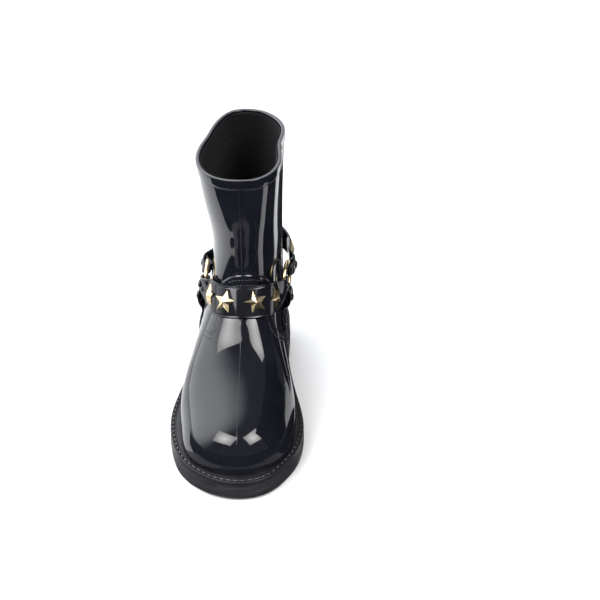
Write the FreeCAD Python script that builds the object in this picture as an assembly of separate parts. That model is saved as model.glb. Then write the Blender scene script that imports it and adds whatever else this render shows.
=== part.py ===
# Right-foot ankle rain boot: glossy PVC upper with a textile sock lining, moulded welt and lugged sole,
# and a harness of four straps, two wire rings and star studs. Millimetres, +Z up, toe towards -Y,
# lateral (outer) side towards -X, origin on the ground under the middle of the sole.
import FreeCAD, Part
import math
import os

V = FreeCAD.Vector

# ---------------------------------------------------------------- driving dimensions
RIM_Z = 241.0            # height of the top edge
WALL = 2.4               # PVC wall of the upper
LINING = 1.4             # textile sock
BAND_H = 9.0             # depth of the top-line band
BAND_T = 0.8             # how proud the band stands
BOARD_T = 2.0            # insole board
SOCK_FLOOR = 1.2         # lining under the foot
FOOTBED_T = 4.5          # foam footbed
COVER_T = 0.9            # textile cover on the footbed
WELT_T = 4.5             # welt strip thickness
WELT_IN = 17.0           # how far the welt reaches in from the sole's edge
LUG_DEPTH = 2.6          # tread grooves
RING_R = 14.0            # ring, centre line radius
WIRE_R = 1.9             # ring wire radius
RING_GAP = 0.45          # room between wire and strap loop
RING_C = (38.0, 112.0)   # ring centres, y and z
RING_OFF = {-1: 2.55, 1: 4.6}  # room between the upper and the wire, lateral and medial
STRAP_T = 1.9            # strap thickness
STRAP_W = 27.0           # front strap width over the instep
REAR_W = 22.0            # rear strap width
LOWER_W = 17.0           # lower strap width
LOOP_W = 11.0            # width of a strap end where it folds round a ring
STAR_R = 10.2            # star stud, tip radius
STAR_H = 3.6             # star stud, peak height
SHANK_R = 1.4            # stud shank radius
CAP_R = 3.6              # rivet cap radius

# key sections of the leg-and-foot tube, toe to top: base/back point y,z; front/ridge point y,z; lateral and
# medial half width; place of the widest point from the base; exponents to the front and to the back; x of the
# front and back points
ROWS = [
    (-70, 8, -126.5, 10, 50.0, 45.5, .12, 2.00, 2.0, -1.5, 0),
    (-66, 9, -127.6, 31, 51.0, 46.3, .14, 2.05, 2.2, -1.5, 0),
    (-62, 10, -120.5, 48, 51.6, 46.8, .14, 2.10, 2.4, -1.5, 0),
    (-58, 10.5, -106, 58, 52.0, 47.2, .15, 2.15, 2.6, -1.5, 0),
    (-54, 10.5, -87, 64.8, 52.3, 47.5, .22, 2.20, 2.8, -1.5, 0),
    (-50, 9, -67, 73, 52.3, 47.3, .32, 2.25, 3.0, -1.3, 0),
    (-42, 6, -49, 83.5, 52.0, 46.5, .36, 2.25, 3.0, -1.0, 0),
    (-25, 3, -34, 96, 50.0, 44.0, .35, 2.20, 3.0, -0.8, 0),
    (0, 3, -22, 108.5, 46.6, 40.8, .33, 2.15, 2.8, -0.4, 0),
    (35, 3, -13.5, 120.5, 43.0, 37.5, .32, 2.10, 2.6, 0.0, 0),
    (75, 5, -9.3, 132, 39.5, 36.0, .33, 2.10, 2.5, 0.4, 0),
    (110, 12, -8.4, 143, 36.5, 35.0, .36, 2.10, 2.4, 0.6, 1),
    (127, 29, -9.4, 153, 33.4, 34.0, .40, 2.10, 2.2, 0.8, 2),
    (132.5, 51, -11, 162, 31.0, 33.2, .45, 2.10, 2.2, 1.0, 3),
    (132, 77, -13, 171, 29.4, 32.6, .49, 2.12, 2.15, 1.0, 4),
    (127, 104, -15, 181, 28.8, 32.2, .52, 2.15, 2.1, 1.0, 5),
    (121.5, 131, -17.5, 192, 29.8, 32.0, .54, 2.20, 2.1, 1.0, 5.5),
    (118, 162, -20.5, 207, 32.4, 32.2, .56, 2.25, 2.1, 1.0, 6),
    (116.5, 201, -24.5, 226, 35.0, 32.8, .58, 2.30, 2.1, 1.0, 6.5),
    (116.5, 252, -30, 252, 37.4, 33.6, .60, 2.35, 2.1, 1.0, 7),
]
# outline of the sole and welt, x,y
OUTLINE = [(1.5, -136.8), (-18.5, -133), (-34.2, -123), (-44.5, -112.5), (-51.3, -102.3), (-58.6, -82), (-62.3, -58),
           (-62.2, -38), (-59, -18), (-53, 8), (-47.5, 34), (-42.5, 60), (-39.2, 85), (-37, 105), (-31, 122),
           (-17, 134), (2.5, 137.5), (21, 134.5), (34.5, 123), (40, 106), (41, 85), (40.2, 60), (40.5, 34),
           (43.5, 8), (48.5, -18), (52.3, -38), (54.2, -58), (51.8, -82), (44.5, -102.3), (38.5, -112.5), (31, -123),
           (18.5, -133)]
# feather line: height of the welt's top along the boot, y,z
FEATHER = [(-150, 20.3), (-110, 19.5), (-60, 19.5), (-20, 21), (20, 26.5), (60, 31.5), (100, 33), (150, 33.5)]
HEEL_FRONT = 56.0        # heel breast
PLACE = V(4.25, -0.3, 0)  # puts the middle of the whole boot's outline on the origin
GROUND = [(-160, 6), (-137, 2.6), (-118, .7), (-98, 0), (4, 0), (18, 1.6), (36, 7), (50, 9), (54, 8.5), (HEEL_FRONT, 0),
          (126, 0), (137.5, 1.4), (160, 4)]


def spline(xs, ys):
    """natural cubic spline through the points"""
    n = len(xs)
    h = [xs[i + 1] - xs[i] for i in range(n - 1)]
    a, b, c, d = [0.0] * n, [1.0] * n, [0.0] * n, [0.0] * n
    for i in range(1, n - 1):
        a[i], b[i], c[i] = h[i - 1], 2 * (h[i - 1] + h[i]), h[i]
        d[i] = 6 * ((ys[i + 1] - ys[i]) / h[i] - (ys[i] - ys[i - 1]) / h[i - 1])
    for i in range(1, n):
        w = a[i] / b[i - 1]
        b[i] -= w * c[i - 1]
        d[i] -= w * d[i - 1]
    m = [0.0] * n
    for i in range(n - 2, -1, -1):
        m[i] = (d[i] - c[i] * m[i + 1]) / b[i]

    def f(x):
        i = 0
        while i < n - 2 and xs[i + 1] <= x:
            i += 1
        t, H = x - xs[i], h[i]
        return ((m[i] * (H - t) ** 3 + m[i + 1] * t ** 3) / (6 * H) + (ys[i] / H - m[i] * H / 6) * (H - t)
                + (ys[i + 1] / H - m[i + 1] * H / 6) * t)
    return f


LAST = len(ROWS) - 1
CH = [spline(list(range(LAST + 1)), [r[k] for r in ROWS]) for k in range(11)]
feather = spline([p[0] for p in FEATHER], [p[1] for p in FEATHER])


def section(v, inset=0.0):
    """the eleven numbers of the section at v, moved inwards by inset"""
    r = [c(v) for c in CH]
    if inset:
        e = 0.02
        a, b = max(0, v - e), min(LAST, v + e)
        fy, fz = CH[2](b) - CH[2](a), CH[3](b) - CH[3](a)
        k = math.hypot(fy, fz)
        r[2] -= inset * (-fz / k)
        r[3] -= inset * (fy / k)
        by, bz = CH[0](b) - CH[0](a), CH[1](b) - CH[1](a)
        if v < 5:
            by, bz = 1.0, 0.0
        k = math.hypot(by, bz)
        r[0] -= inset * (bz / k)
        r[1] -= inset * (-by / k)
        r[4] -= inset
        r[5] -= inset
    return r


def on_section(r, phi):
    """a point of a section: phi 0 at the back or base, pi at the front, medial side between them"""
    c, s = math.cos(phi), math.sin(phi)
    n, length = (r[8], r[6]) if c > 0 else (r[7], 1 - r[6])
    along = r[6] - length * math.copysign(abs(c) ** (2.0 / n), c)
    side = r[5] if s > 0 else -r[4]
    k = min(1.0, max(0.0, along))
    x = r[10] + (r[9] - r[10]) * (0.5 - 0.5 * math.cos(math.pi * k)) + side * abs(s) ** (2.0 / n)
    return V(x, r[0] + (r[2] - r[0]) * along, r[1] + (r[3] - r[1]) * along)


def skin(v, phi, out=0.0):
    """a point of the upper's outside and the direction outwards there"""
    e = 0.01
    p = on_section(section(v), phi)
    du = on_section(section(min(LAST, v + e)), phi) - on_section(section(max(0, v - e)), phi)
    dp = on_section(section(v), phi + e) - on_section(section(v), phi - e)
    n = dp.cross(du)
    n.normalize()
    mid = on_section(section(v), 0) * 0.5 + on_section(section(v), math.pi) * 0.5
    if n.dot(p - mid) < 0:
        n = n * -1
    return p + n * out, n


def side_point(y, z, side, out=0.0):
    """the skin point beside a place given by y and z; side is -1 lateral, 1 medial"""
    lo, hi = 4.0, float(LAST)
    for _ in range(50):
        v = (lo + hi) / 2
        r = section(v)
        # above the chord of the section is later along the tube
        cross = (r[2] - r[0]) * (z - r[1]) - (r[3] - r[1]) * (y - r[0])
        if cross < 0:
            lo = v
        else:
            hi = v
    r = section(v)
    L2 = (r[2] - r[0]) ** 2 + (r[3] - r[1]) ** 2
    along = ((y - r[0]) * (r[2] - r[0]) + (z - r[1]) * (r[3] - r[1])) / L2
    if along < r[6]:
        k = (r[6] - along) / r[6]
        c = min(1.0, max(0.0, k)) ** (r[8] / 2)
    else:
        k = (along - r[6]) / (1 - r[6])
        c = -(min(1.0, max(0.0, k)) ** (r[7] / 2))
    phi = math.acos(c)
    if side < 0:
        phi = 2 * math.pi - phi
    return skin(v, phi, out)


SECTIONS = [0, .5, 1, 1.5, 2, 2.5, 3, 3.5, 4] + list(range(5, LAST + 1))
AROUND = 32


def tube(inset):
    """the solid inside the upper's skin moved inwards by inset: one surface through the sections, closed at both ends"""
    lap = 3
    grid = [[on_section(section(v, inset), 2 * math.pi * k / AROUND) for k in range(-lap, AROUND + lap + 1)]
            for v in SECTIONS]
    s = Part.BSplineSurface()
    s.interpolate(grid)
    knots = s.getVKnots()
    a, b = knots[lap], knots[lap + AROUND]
    u0, u1 = s.bounds()[0], s.bounds()[1]
    s.segment(u0, u1, a, b)
    shell = Part.makeShell([s.toShape()] + [Part.Face(Part.Wire([s.uIso(u).toShape()])) for u in (u0, u1)])
    shell.sewShape()
    solid = Part.Solid(shell)
    if solid.Volume < 0:
        solid.reverse()
    return solid


def band(z_of, lift, top):
    """everything between a curve in the side view, lifted, and a height or a second curve"""
    ys = [-160 + 10 * k for k in range(33)]
    low = [V(-120, y, z_of(y) + lift) for y in ys]
    c = Part.BSplineCurve()
    c.interpolate(low)
    if callable(top):
        d = Part.BSplineCurve()
        d.interpolate([V(-120, y, top(y)) for y in ys])
        up = d.toShape()
        a, b = V(-120, ys[0], top(ys[0])), V(-120, ys[-1], top(ys[-1]))
        edges = [c.toShape(), Part.makeLine(low[-1], b), up, Part.makeLine(a, low[0])]
    else:
        a, b = V(-120, ys[0], top), V(-120, ys[-1], top)
        edges = [c.toShape(), Part.makeLine(low[-1], b), Part.makeLine(b, a), Part.makeLine(a, low[0])]
    w = Part.Wire(Part.__sortEdges__(edges))
    return Part.Face(w).extrude(V(240, 0, 0))


def outline_face(inset, z):
    pts = [V(x, y, z) for x, y in OUTLINE]
    c = Part.BSplineCurve()
    c.interpolate(Points=pts, PeriodicFlag=True)
    w = Part.Wire([c.toShape()])
    if inset:
        n = 96
        e = c.toShape()
        a, b = e.ParameterRange
        q = []
        for k in range(n):
            t = a + (b - a) * k / n
            p, d = e.valueAt(t), e.tangentAt(t)
            nrm = V(-d.y, d.x, 0)
            if nrm.dot(V(1.0, 0, z) - p) < 0 and abs(p.y) > 125:
                nrm = nrm * -1
            elif nrm.x * (1.0 - p.x) < 0 and abs(p.y) <= 125:
                nrm = nrm * -1
            q.append(p + nrm * inset)
        c = Part.BSplineCurve()
        c.interpolate(Points=q, PeriodicFlag=True)
        w = Part.Wire([c.toShape()])
    return Part.Face(w)


def biggest(s):
    sol = sorted(s.Solids, key=lambda k: -k.Volume)
    return sol[0]


def ribbon(stations):
    """a strap: stations are (centre, outward normal, width direction, width, thickness)"""
    wires = []
    for c, n, w, wid, th in stations:
        a, b = w * (wid / 2), n * (th / 2)
        wires.append(Part.makePolygon([c - a - b, c + a - b, c + a + b, c - a + b, c - a - b]))
    s = Part.makeLoft(wires, True, False)
    if s.Volume < 0:
        s.reverse()
    return s


def smooth_path(pts, n):
    xs = [0.0]
    for a, b in zip(pts, pts[1:]):
        xs.append(xs[-1] + (V(*b) - V(*a)).Length)
    f = [spline(xs, [p[k] for p in pts]) for k in range(3)]
    return [V(*[g(xs[-1] * i / (n - 1)) for g in f]) for i in range(n)]


shapes = {}

# ---------------------------------------------------------------- upper, lining and what lies in the boot
outer, inner, inside = tube(0), tube(WALL), tube(WALL + LINING)
below_rim = band(feather, 0, RIM_Z)
shell = biggest(outer.cut(inner).common(below_rim))
lining_space = band(feather, BOARD_T, RIM_Z - 3)
foot_space = band(feather, BOARD_T + SOCK_FLOOR, RIM_Z + 2)
lining = biggest(inner.common(lining_space).cut(inside.common(foot_space)))
board = biggest(inner.common(band(feather, 0, lambda y: feather(y) + BOARD_T)))
bed_z = BOARD_T + SOCK_FLOOR
snug = tube(WALL + LINING + 0.4)
footbed = biggest(snug.common(band(feather, bed_z, lambda y: feather(y) + bed_z + FOOTBED_T)))
cover = biggest(snug.common(band(feather, bed_z + FOOTBED_T, lambda y: feather(y) + bed_z + FOOTBED_T + COVER_T)))
proud = tube(-BAND_T)
topline = biggest(proud.cut(outer).common(Part.makeBox(240, 400, BAND_H, V(-120, -200, RIM_Z - BAND_H))))

# ---------------------------------------------------------------- sole
plan = outline_face(0, -5).extrude(V(0, 0, 60))
welt_plan = plan.cut(outline_face(WELT_IN, -6).extrude(V(0, 0, 62)))
welt = biggest(welt_plan.common(band(feather, -WELT_T, feather)))
g = [V(-120, y, z) for y, z in GROUND]
under = Part.Face(Part.makePolygon(g + [V(-120, 160, 80), V(-120, -160, 80), g[0]])).extrude(V(240, 0, 0))
full_sole = plan.common(under).common(band(lambda y: -20, 0, lambda y: feather(y)))
sole = biggest(full_sole.cut(welt))
grooves = []
for k in range(11):
    y = -118 + 12.2 * k
    grooves.append(Part.makeBox(150, 3.2, LUG_DEPTH + 8, V(-75, y - 1.6, -8 + (1.0 if k == 0 else 0))))
for k in range(5):
    y = HEEL_FRONT + 12 + 13 * k
    grooves.append(Part.makeBox(150, 3.2, LUG_DEPTH + 8, V(-75, y - 1.6, -8)))
gr = Part.makeCompound(grooves).common(outline_face(9.0, -10).extrude(V(0, 0, 14)))
sole = biggest(sole.cut(gr))
heel_plan = outline_face(WELT_IN + 1.0, 8).extrude(V(0, 0, 40)).common(Part.makeBox(140, 90, 60, V(-70, HEEL_FRONT + 9, 8)))
cavity = heel_plan.common(band(lambda y: 0, 8, lambda y: feather(y) - 1.0))
sole = biggest(sole.cut(cavity))
filler = biggest(heel_plan.common(band(lambda y: 0, 8, lambda y: feather(y) - 1.0)))
shapes.update(upper_shell=shell, sock_lining=lining, insole_board=board, footbed=footbed, footbed_cover=cover,
              topline_band=topline, welt=welt, outsole=sole, heel_filler=filler)

# ---------------------------------------------------------------- rings
rings = {}
for name, side in (("lateral", -1), ("medial", 1)):
    top, n1 = side_point(RING_C[0], RING_C[1] + 13, side)
    low, n2 = side_point(RING_C[0], RING_C[1] - 13, side)
    fr, n3 = side_point(RING_C[0] - 13, RING_C[1], side)
    bk, n4 = side_point(RING_C[0] + 13, RING_C[1], side)
    axis = (bk - fr).cross(top - low)
    axis.normalize()
    if axis.x * side < 0:
        axis = axis * -1
    mid, nm = side_point(RING_C[0], RING_C[1], side)
    off = max((p - mid).dot(axis) for p in (top, low, fr, bk, mid)) + WIRE_R + RING_OFF[side]
    c = mid + axis * off
    rings[side] = (c, axis)
    shapes[name + "_ring"] = Part.makeTorus(RING_R, WIRE_R, c, axis)


def ring_frame(side, direction):
    """point of the wire's centre line in a direction, the direction outwards from the ring's centre in its
    plane, the wire's tangent there and the ring's axis"""
    c, ax = rings[side]
    d = direction - ax * direction.dot(ax)
    d.normalize()
    t = ax.cross(d)
    return c + d * RING_R, d, t, ax


def torus_room(side):
    c, ax = rings[side]
    return Part.makeTorus(RING_R, WIRE_R + RING_GAP, c, ax)


rivet_spots = []


def strap(pts, normals_from, widths, n):
    """stations of a strap: pts are centre line guide points; widths along it"""
    path = smooth_path(pts, n)
    st = []
    for i, p in enumerate(path):
        a, b = path[max(0, i - 1)], path[min(n - 1, i + 1)]
        t = b - a
        t.normalize()
        nn = normals_from(i / (n - 1.0), p)
        nn = nn - t * nn.dot(t)
        nn.normalize()
        st.append((p, nn, nn.cross(t), widths(i / (n - 1.0)), STRAP_T))
    return st


def lerp(a, b, k):
    return a * (1 - k) + b * k


def taper(k, wide, ends=0.16):
    """full width in the middle, loop width at both ends"""
    e = min(k, 1 - k) / ends
    e = min(1.0, max(0.0, e))
    e = e * e * (3 - 2 * e)
    return LOOP_W + (wide - LOOP_W) * e


R_OUT = WIRE_R + RING_GAP + STRAP_T
lift = WIRE_R + RING_GAP + STRAP_T / 2          # strap centre line above the wire's centre, on the outer side


def end_point(side, direction, back):
    """where a strap's centre line starts, on the outer side of the sleeve, and a point a little along it"""
    p, d, t, ax = ring_frame(side, direction)
    return p + ax * lift + d * back


def build_strap(name, end_a, end_b, mids, wide, n, normals, ends=0.16, single=None):
    pts = []
    side_a, dir_a = end_a
    pts.append(end_point(side_a, dir_a, 0.0))
    pts.append(end_point(side_a, dir_a, 7.0))
    pts += mids
    if end_b:
        side_b, dir_b = end_b
        pts.append(end_point(side_b, dir_b, 7.0))
        pts.append(end_point(side_b, dir_b, 0.0))
    path_w = (lambda k: taper(k, wide, ends)) if not single else single
    st = strap([(p.x, p.y, p.z) for p in pts], normals, path_w, n)
    body = ribbon(st)
    parts = [body]
    for end in (end_a, end_b):
        if not end:
            continue
        side, direction = end
        p, d, t, ax = ring_frame(side, direction)
        parts.append(Part.makeCylinder(R_OUT, LOOP_W, p - t * (LOOP_W / 2), t))
        # the tail layer folded back under the strap, closing on it
        q0, q1 = p - ax * (R_OUT - STRAP_T), p - ax * R_OUT
        far0, far1 = p + ax * (lift - STRAP_T * 1.5 + 0.0) + d * 9.0, p + ax * (lift + STRAP_T * 0.2) + d * 9.0
        tail = Part.makePolygon([q1 - t * (LOOP_W / 2), q0 + d * 0 - t * (LOOP_W / 2) + ax * 1.0,
                                 far1 - t * (LOOP_W / 2), far0 - t * (LOOP_W / 2), q1 - t * (LOOP_W / 2)])
        parts.append(Part.Face(tail).extrude(t * LOOP_W))
        rivet_spots.append((name, p, d, t, ax))
    s = parts[0].fuse(parts[1:])
    for end in (end_a, end_b):
        if end:
            s = s.cut(torus_room(end[0]))
    s = biggest(s)
    return s, st


FWD, REAR, DOWN = V(0, -1, 0.18), V(0, 1, 0.1), V(0, 0, -1)


def from_axis(cx, cy):
    return lambda k, p: V(p.x - cx, p.y - cy, 0)


# front strap: over the instep, its middle on the ridge
RIDGE_V = 8.77           # where the strap's middle crosses the ridge


def strap_z(y):
    return 117.5 + (y + 17.4) * (112.0 - 117.5) / 41.4


front_mids = [side_point(y, strap_z(y), -1, out)[0] for y, out in ((9, 3.4), (0, 3.2), (-8, 3.2), (-13.5, 3.3))]
front_mids.append(skin(RIDGE_V, math.pi, 3.2)[0])
front_mids += [side_point(y, strap_z(y) - drop, 1, out)[0]
               for y, out, drop in ((-14, 3.6, 0.3), (-10, 5.4, 0.8), (-3, 7.0, 1.4), (7, 7.4, 1.4))]
ridge_n = V(0, -math.cos(math.radians(33)), math.sin(math.radians(33)))


def front_normal(k, p):
    e = math.cos(math.pi * (k - 0.5)) ** 2
    out = V(p.x - 3.0, p.y - 30.0, 0)
    out.normalize()
    return out + V(0, 0, 0.62 * e)


front, st_front = build_strap("front_strap", (-1, FWD), (1, FWD), front_mids, STRAP_W, 33, front_normal, 0.2)

# rear strap: round the back of the ankle, standing off its sides
rear_mids = []
for y, z, out in ((66, 112.5, 3.2), (86, 113.5, 3.0), (106, 115.0, 3.2)):
    rear_mids.append(side_point(y, z, -1, out)[0])
rear_mids += [V(-8.5, 128.6, 116.2), V(4.5, 131.2, 116.6), V(18.5, 128.6, 116.2)]
for y, z, out in ((106, 115.0, 5.4), (86, 113.5, 7.4), (66, 112.5, 7.6)):
    rear_mids.append(side_point(y, z, 1, out)[0])


def rear_normal(k, p):
    out = V(p.x - 4.0, p.y - 80.0, 0)
    out.normalize()
    side = V(math.copysign(1, p.x), 0, 0)
    e = min(1.0, max(0.0, (p.y - 60) / 50.0))
    return side * (1 - e) + out * e


rear, st_rear = build_strap("rear_strap", (-1, REAR), (1, REAR), rear_mids, REAR_W, 37, rear_normal, 0.12)

# lower straps: from the rings down the sides to the waist of the sole
ANCHOR_Z = 41.0
lower, st_lower, anchors = {}, {}, {}
for name, side in (("lateral", -1), ("medial", 1)):
    mids = []
    for y, z, out in ((40, 84, 2.6), (41.5, 70, 1.9), (42.5, 56, 1.5), (43, 43, 1.3), (43, 35.5, 1.3)):
        mids.append(side_point(y, z, side, out)[0])

    def nrm(k, p, side=side):
        q, nn = side_point(p.y, max(36.0, p.z), side)
        return nn

    s, st = build_strap(name + "_lower_strap", (side, DOWN), None, mids, LOWER_W, 21, nrm, 0.16,
                        single=lambda k: LOOP_W + (LOWER_W - LOOP_W) * min(1.0, k / 0.3))
    lower[name], st_lower[name] = s, st
    anchors[name] = side_point(43, ANCHOR_Z, side, 0)

# ---------------------------------------------------------------- studs and rivets


def star(c, n, up, turn):
    """five-pointed pyramid on the strap, with its shank"""
    u = up - n * up.dot(n)
    u.normalize()
    w = n.cross(u)
    pts = []
    for k in range(10):
        a = turn + math.pi * k / 5
        r = STAR_R if k % 2 == 0 else STAR_R * 0.47
        pts.append(c + (u * math.cos(a) + w * math.sin(a)) * r)
    edge = [p + n * 0.7 for p in pts]
    peak = c + n * STAR_H
    faces = [Part.Face(Part.makePolygon(pts + [pts[0]]))]
    for k in range(10):
        a, b = k, (k + 1) % 10
        faces.append(Part.Face(Part.makePolygon([pts[a], pts[b], edge[b], edge[a], pts[a]])))
        faces.append(Part.Face(Part.makePolygon([edge[a], edge[b], peak, edge[a]])))
    sh = Part.makeShell(faces)
    sh.sewShape()
    s = Part.makeSolid(Part.Shell(sh.Faces))
    if s.Volume < 0:
        s.reverse()
    return s


def place_on(st, k):
    """centre, outward normal and width direction at a fraction k of a strap's stations"""
    f = k * (len(st) - 1)
    i = min(len(st) - 2, int(f))
    e = f - i
    c = st[i][0] * (1 - e) + st[i + 1][0] * e
    n = st[i][1] * (1 - e) + st[i + 1][1] * e
    n.normalize()
    w = st[i][2] * (1 - e) + st[i + 1][2] * e
    w.normalize()
    return c, n, w


FRONT_STARS = [(0.225, 0.10), (0.390, -0.10), (0.600, 0.16), (0.780, 0.30)]
REAR_STARS = [(0.19, 0.2), (0.345, -0.15), (0.50, 0.1), (0.655, 0.3), (0.81, -0.1)]


def studs(st, places, strap_solid):
    stars, washers = [], []
    for k, turn in places:
        c, n, w = place_on(st, k)
        top = c + n * (STRAP_T / 2 + 0.12)
        head = star(top, n, w, turn)
        shank = Part.makeCylinder(SHANK_R, STRAP_T + 1.0 + 0.12, top, n * -1)
        stars.append(biggest(head.fuse(shank)))
        hole = Part.makeCylinder(SHANK_R, STRAP_T + 8, c - n * (STRAP_T / 2 + 4), n)
        strap_solid = strap_solid.cut(hole)
        low = c - n * (STRAP_T / 2 + 0.14)
        wash = Part.makeCylinder(3.4, 0.7, low, n * -1).cut(Part.makeCylinder(SHANK_R, 4, low + n, n * -1))
        washers.append(wash)
    stars = [biggest(k.cut(strap_solid)) for k in stars]
    washers = [biggest(k.cut(outer).cut(strap_solid)) for k in washers]
    return Part.makeCompound(stars), Part.makeCompound(washers), biggest(strap_solid)


front = biggest(front.cut(outer))
front_stars, front_washers, front = studs(st_front, FRONT_STARS, front)
rear_stars, rear_washers, rear = studs(st_rear, REAR_STARS, rear)
rear = biggest(rear.cut(outer))

caps, burrs = [], []
solids = {"front_strap": front, "rear_strap": rear, "lateral_lower_strap": lower["lateral"],
          "medial_lower_strap": lower["medial"]}
for name, p, d, t, ax in rivet_spots:
    at = p + d * 6.4
    # cap above the strap and burr under the tail, one shank between them
    bore = Part.makeCylinder(1.2, 16, at - ax * 8, ax)
    solids[name] = biggest(solids[name].cut(bore))
    strap_box = solids[name]
    ts = []
    probe = Part.makeCylinder(CAP_R - 0.4, 16, at - ax * 8, ax)
    cut = strap_box.common(probe)
    for vtx in cut.Vertexes:
        ts.append((vtx.Point - at).dot(ax))
    if not ts:
        print("no strap at rivet", name, at)
        continue
    hi, lo = max(ts) + 0.1, min(ts) - 0.1
    cap = Part.makeCylinder(CAP_R, 0.6, at + ax * hi, ax).fuse(Part.makeCone(CAP_R, 1.6, 1.2, at + ax * (hi + 0.6), ax))
    cap = cap.fuse(Part.makeCylinder(1.2, hi - lo + 0.5, at + ax * (lo - 0.5), ax))
    caps.append(biggest(cap.cut(solids[name])))
    burrs.append(Part.makeCylinder(3.0, 0.6, at + ax * lo, ax * -1).cut(Part.makeCylinder(1.2, 3, at + ax * (lo + 1), ax * -1)))

anchor = []
for name, side in (("lateral", -1), ("medial", 1)):
    q, nn = anchors[name]
    key = name + "_lower_strap"
    s = solids[key].cut(Part.makeCylinder(1.5, 12, q - nn * 1, nn))
    solids[key] = biggest(s)
    probe = solids[key].common(Part.makeCylinder(4.0, 12, q - nn * 1, nn))
    hi = max((vt.Point - q).dot(nn) for vt in probe.Vertexes) + 0.1
    cap = Part.makeCylinder(4.2, 0.7, q + nn * hi, nn).fuse(Part.makeCone(4.2, 2.0, 1.5, q + nn * (hi + 0.7), nn))
    cap = cap.fuse(Part.makeCylinder(1.5, hi + 1.6, q - nn * 1.6, nn))
    anchor.append(biggest(cap))
    shapes["upper_shell"] = biggest(shapes["upper_shell"].cut(Part.makeCylinder(1.5, 5, q - nn * 1.6, nn)))

shapes.update(solids)
shapes.update(front_star_studs=front_stars, rear_star_studs=rear_stars, front_stud_washers=front_washers,
              rear_stud_washers=rear_washers, loop_rivets=Part.makeCompound(caps), loop_rivet_burrs=Part.makeCompound(burrs),
              anchor_rivets=Part.makeCompound(anchor))

os.makedirs("parts", exist_ok=True)
for name, shape in shapes.items():
    shape.translate(PLACE)
    shape.exportStep("parts/%s.step" % name)
    bb = shape.BoundBox
    print("%-22s solids %2d valid %s vol %9.1f  x %.1f..%.1f y %.1f..%.1f z %.1f..%.1f" % (
        name, len(shape.Solids), shape.isValid(), shape.Volume, bb.XMin, bb.XMax, bb.YMin, bb.YMax, bb.ZMin, bb.ZMax))
for side in (-1, 1):
    print("ring", side, rings[side][0] + PLACE, rings[side][1])
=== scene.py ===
import math
import bpy
import numpy as np
from mathutils import Vector, Matrix, Euler


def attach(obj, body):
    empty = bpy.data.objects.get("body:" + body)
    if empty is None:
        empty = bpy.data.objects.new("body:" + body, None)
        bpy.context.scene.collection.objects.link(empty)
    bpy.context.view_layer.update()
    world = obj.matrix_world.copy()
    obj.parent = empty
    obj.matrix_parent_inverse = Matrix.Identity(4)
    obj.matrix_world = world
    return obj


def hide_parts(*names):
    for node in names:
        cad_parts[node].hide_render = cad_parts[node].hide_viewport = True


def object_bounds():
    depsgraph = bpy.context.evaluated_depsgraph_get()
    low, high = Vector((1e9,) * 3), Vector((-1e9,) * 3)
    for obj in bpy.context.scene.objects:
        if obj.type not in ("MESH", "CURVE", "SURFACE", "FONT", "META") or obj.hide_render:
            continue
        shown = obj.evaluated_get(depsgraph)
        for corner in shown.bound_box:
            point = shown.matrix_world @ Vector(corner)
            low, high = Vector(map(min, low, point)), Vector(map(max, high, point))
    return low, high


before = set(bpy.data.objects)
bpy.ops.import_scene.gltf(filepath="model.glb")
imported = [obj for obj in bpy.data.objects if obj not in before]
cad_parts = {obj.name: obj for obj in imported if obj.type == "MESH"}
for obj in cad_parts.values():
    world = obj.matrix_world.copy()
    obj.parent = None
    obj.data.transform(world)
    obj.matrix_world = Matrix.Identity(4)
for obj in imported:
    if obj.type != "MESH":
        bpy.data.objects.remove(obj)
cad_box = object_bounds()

# ------------------------------------------------------------------ the boot's form, in millimetres
PLACE = np.array([4.25, -0.3, 0.0])
RIM_Z, WALL, LINING = 241.0, 2.4, 1.4
BAND_H, BAND_T = 9.0, 0.8
BOARD_T, SOCK_FLOOR, FOOTBED_T, COVER_T = 2.0, 1.2, 4.5, 0.9
WELT_T, WELT_IN, LUG_DEPTH = 4.5, 17.0, 2.6
RING_R, WIRE_R, RING_GAP = 14.0, 1.9, 0.45
RING_C = (38.0, 112.0)
RING_OFF = {-1: 2.55, 1: 4.6}
STRAP_T, STRAP_W, REAR_W, LOWER_W, LOOP_W = 1.9, 27.0, 22.0, 17.0, 11.0
STAR_R, STAR_H, CAP_R = 10.2, 3.6, 3.6
ANCHOR_Z, HEEL_FRONT, RIDGE_V = 41.0, 56.0, 8.77
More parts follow.
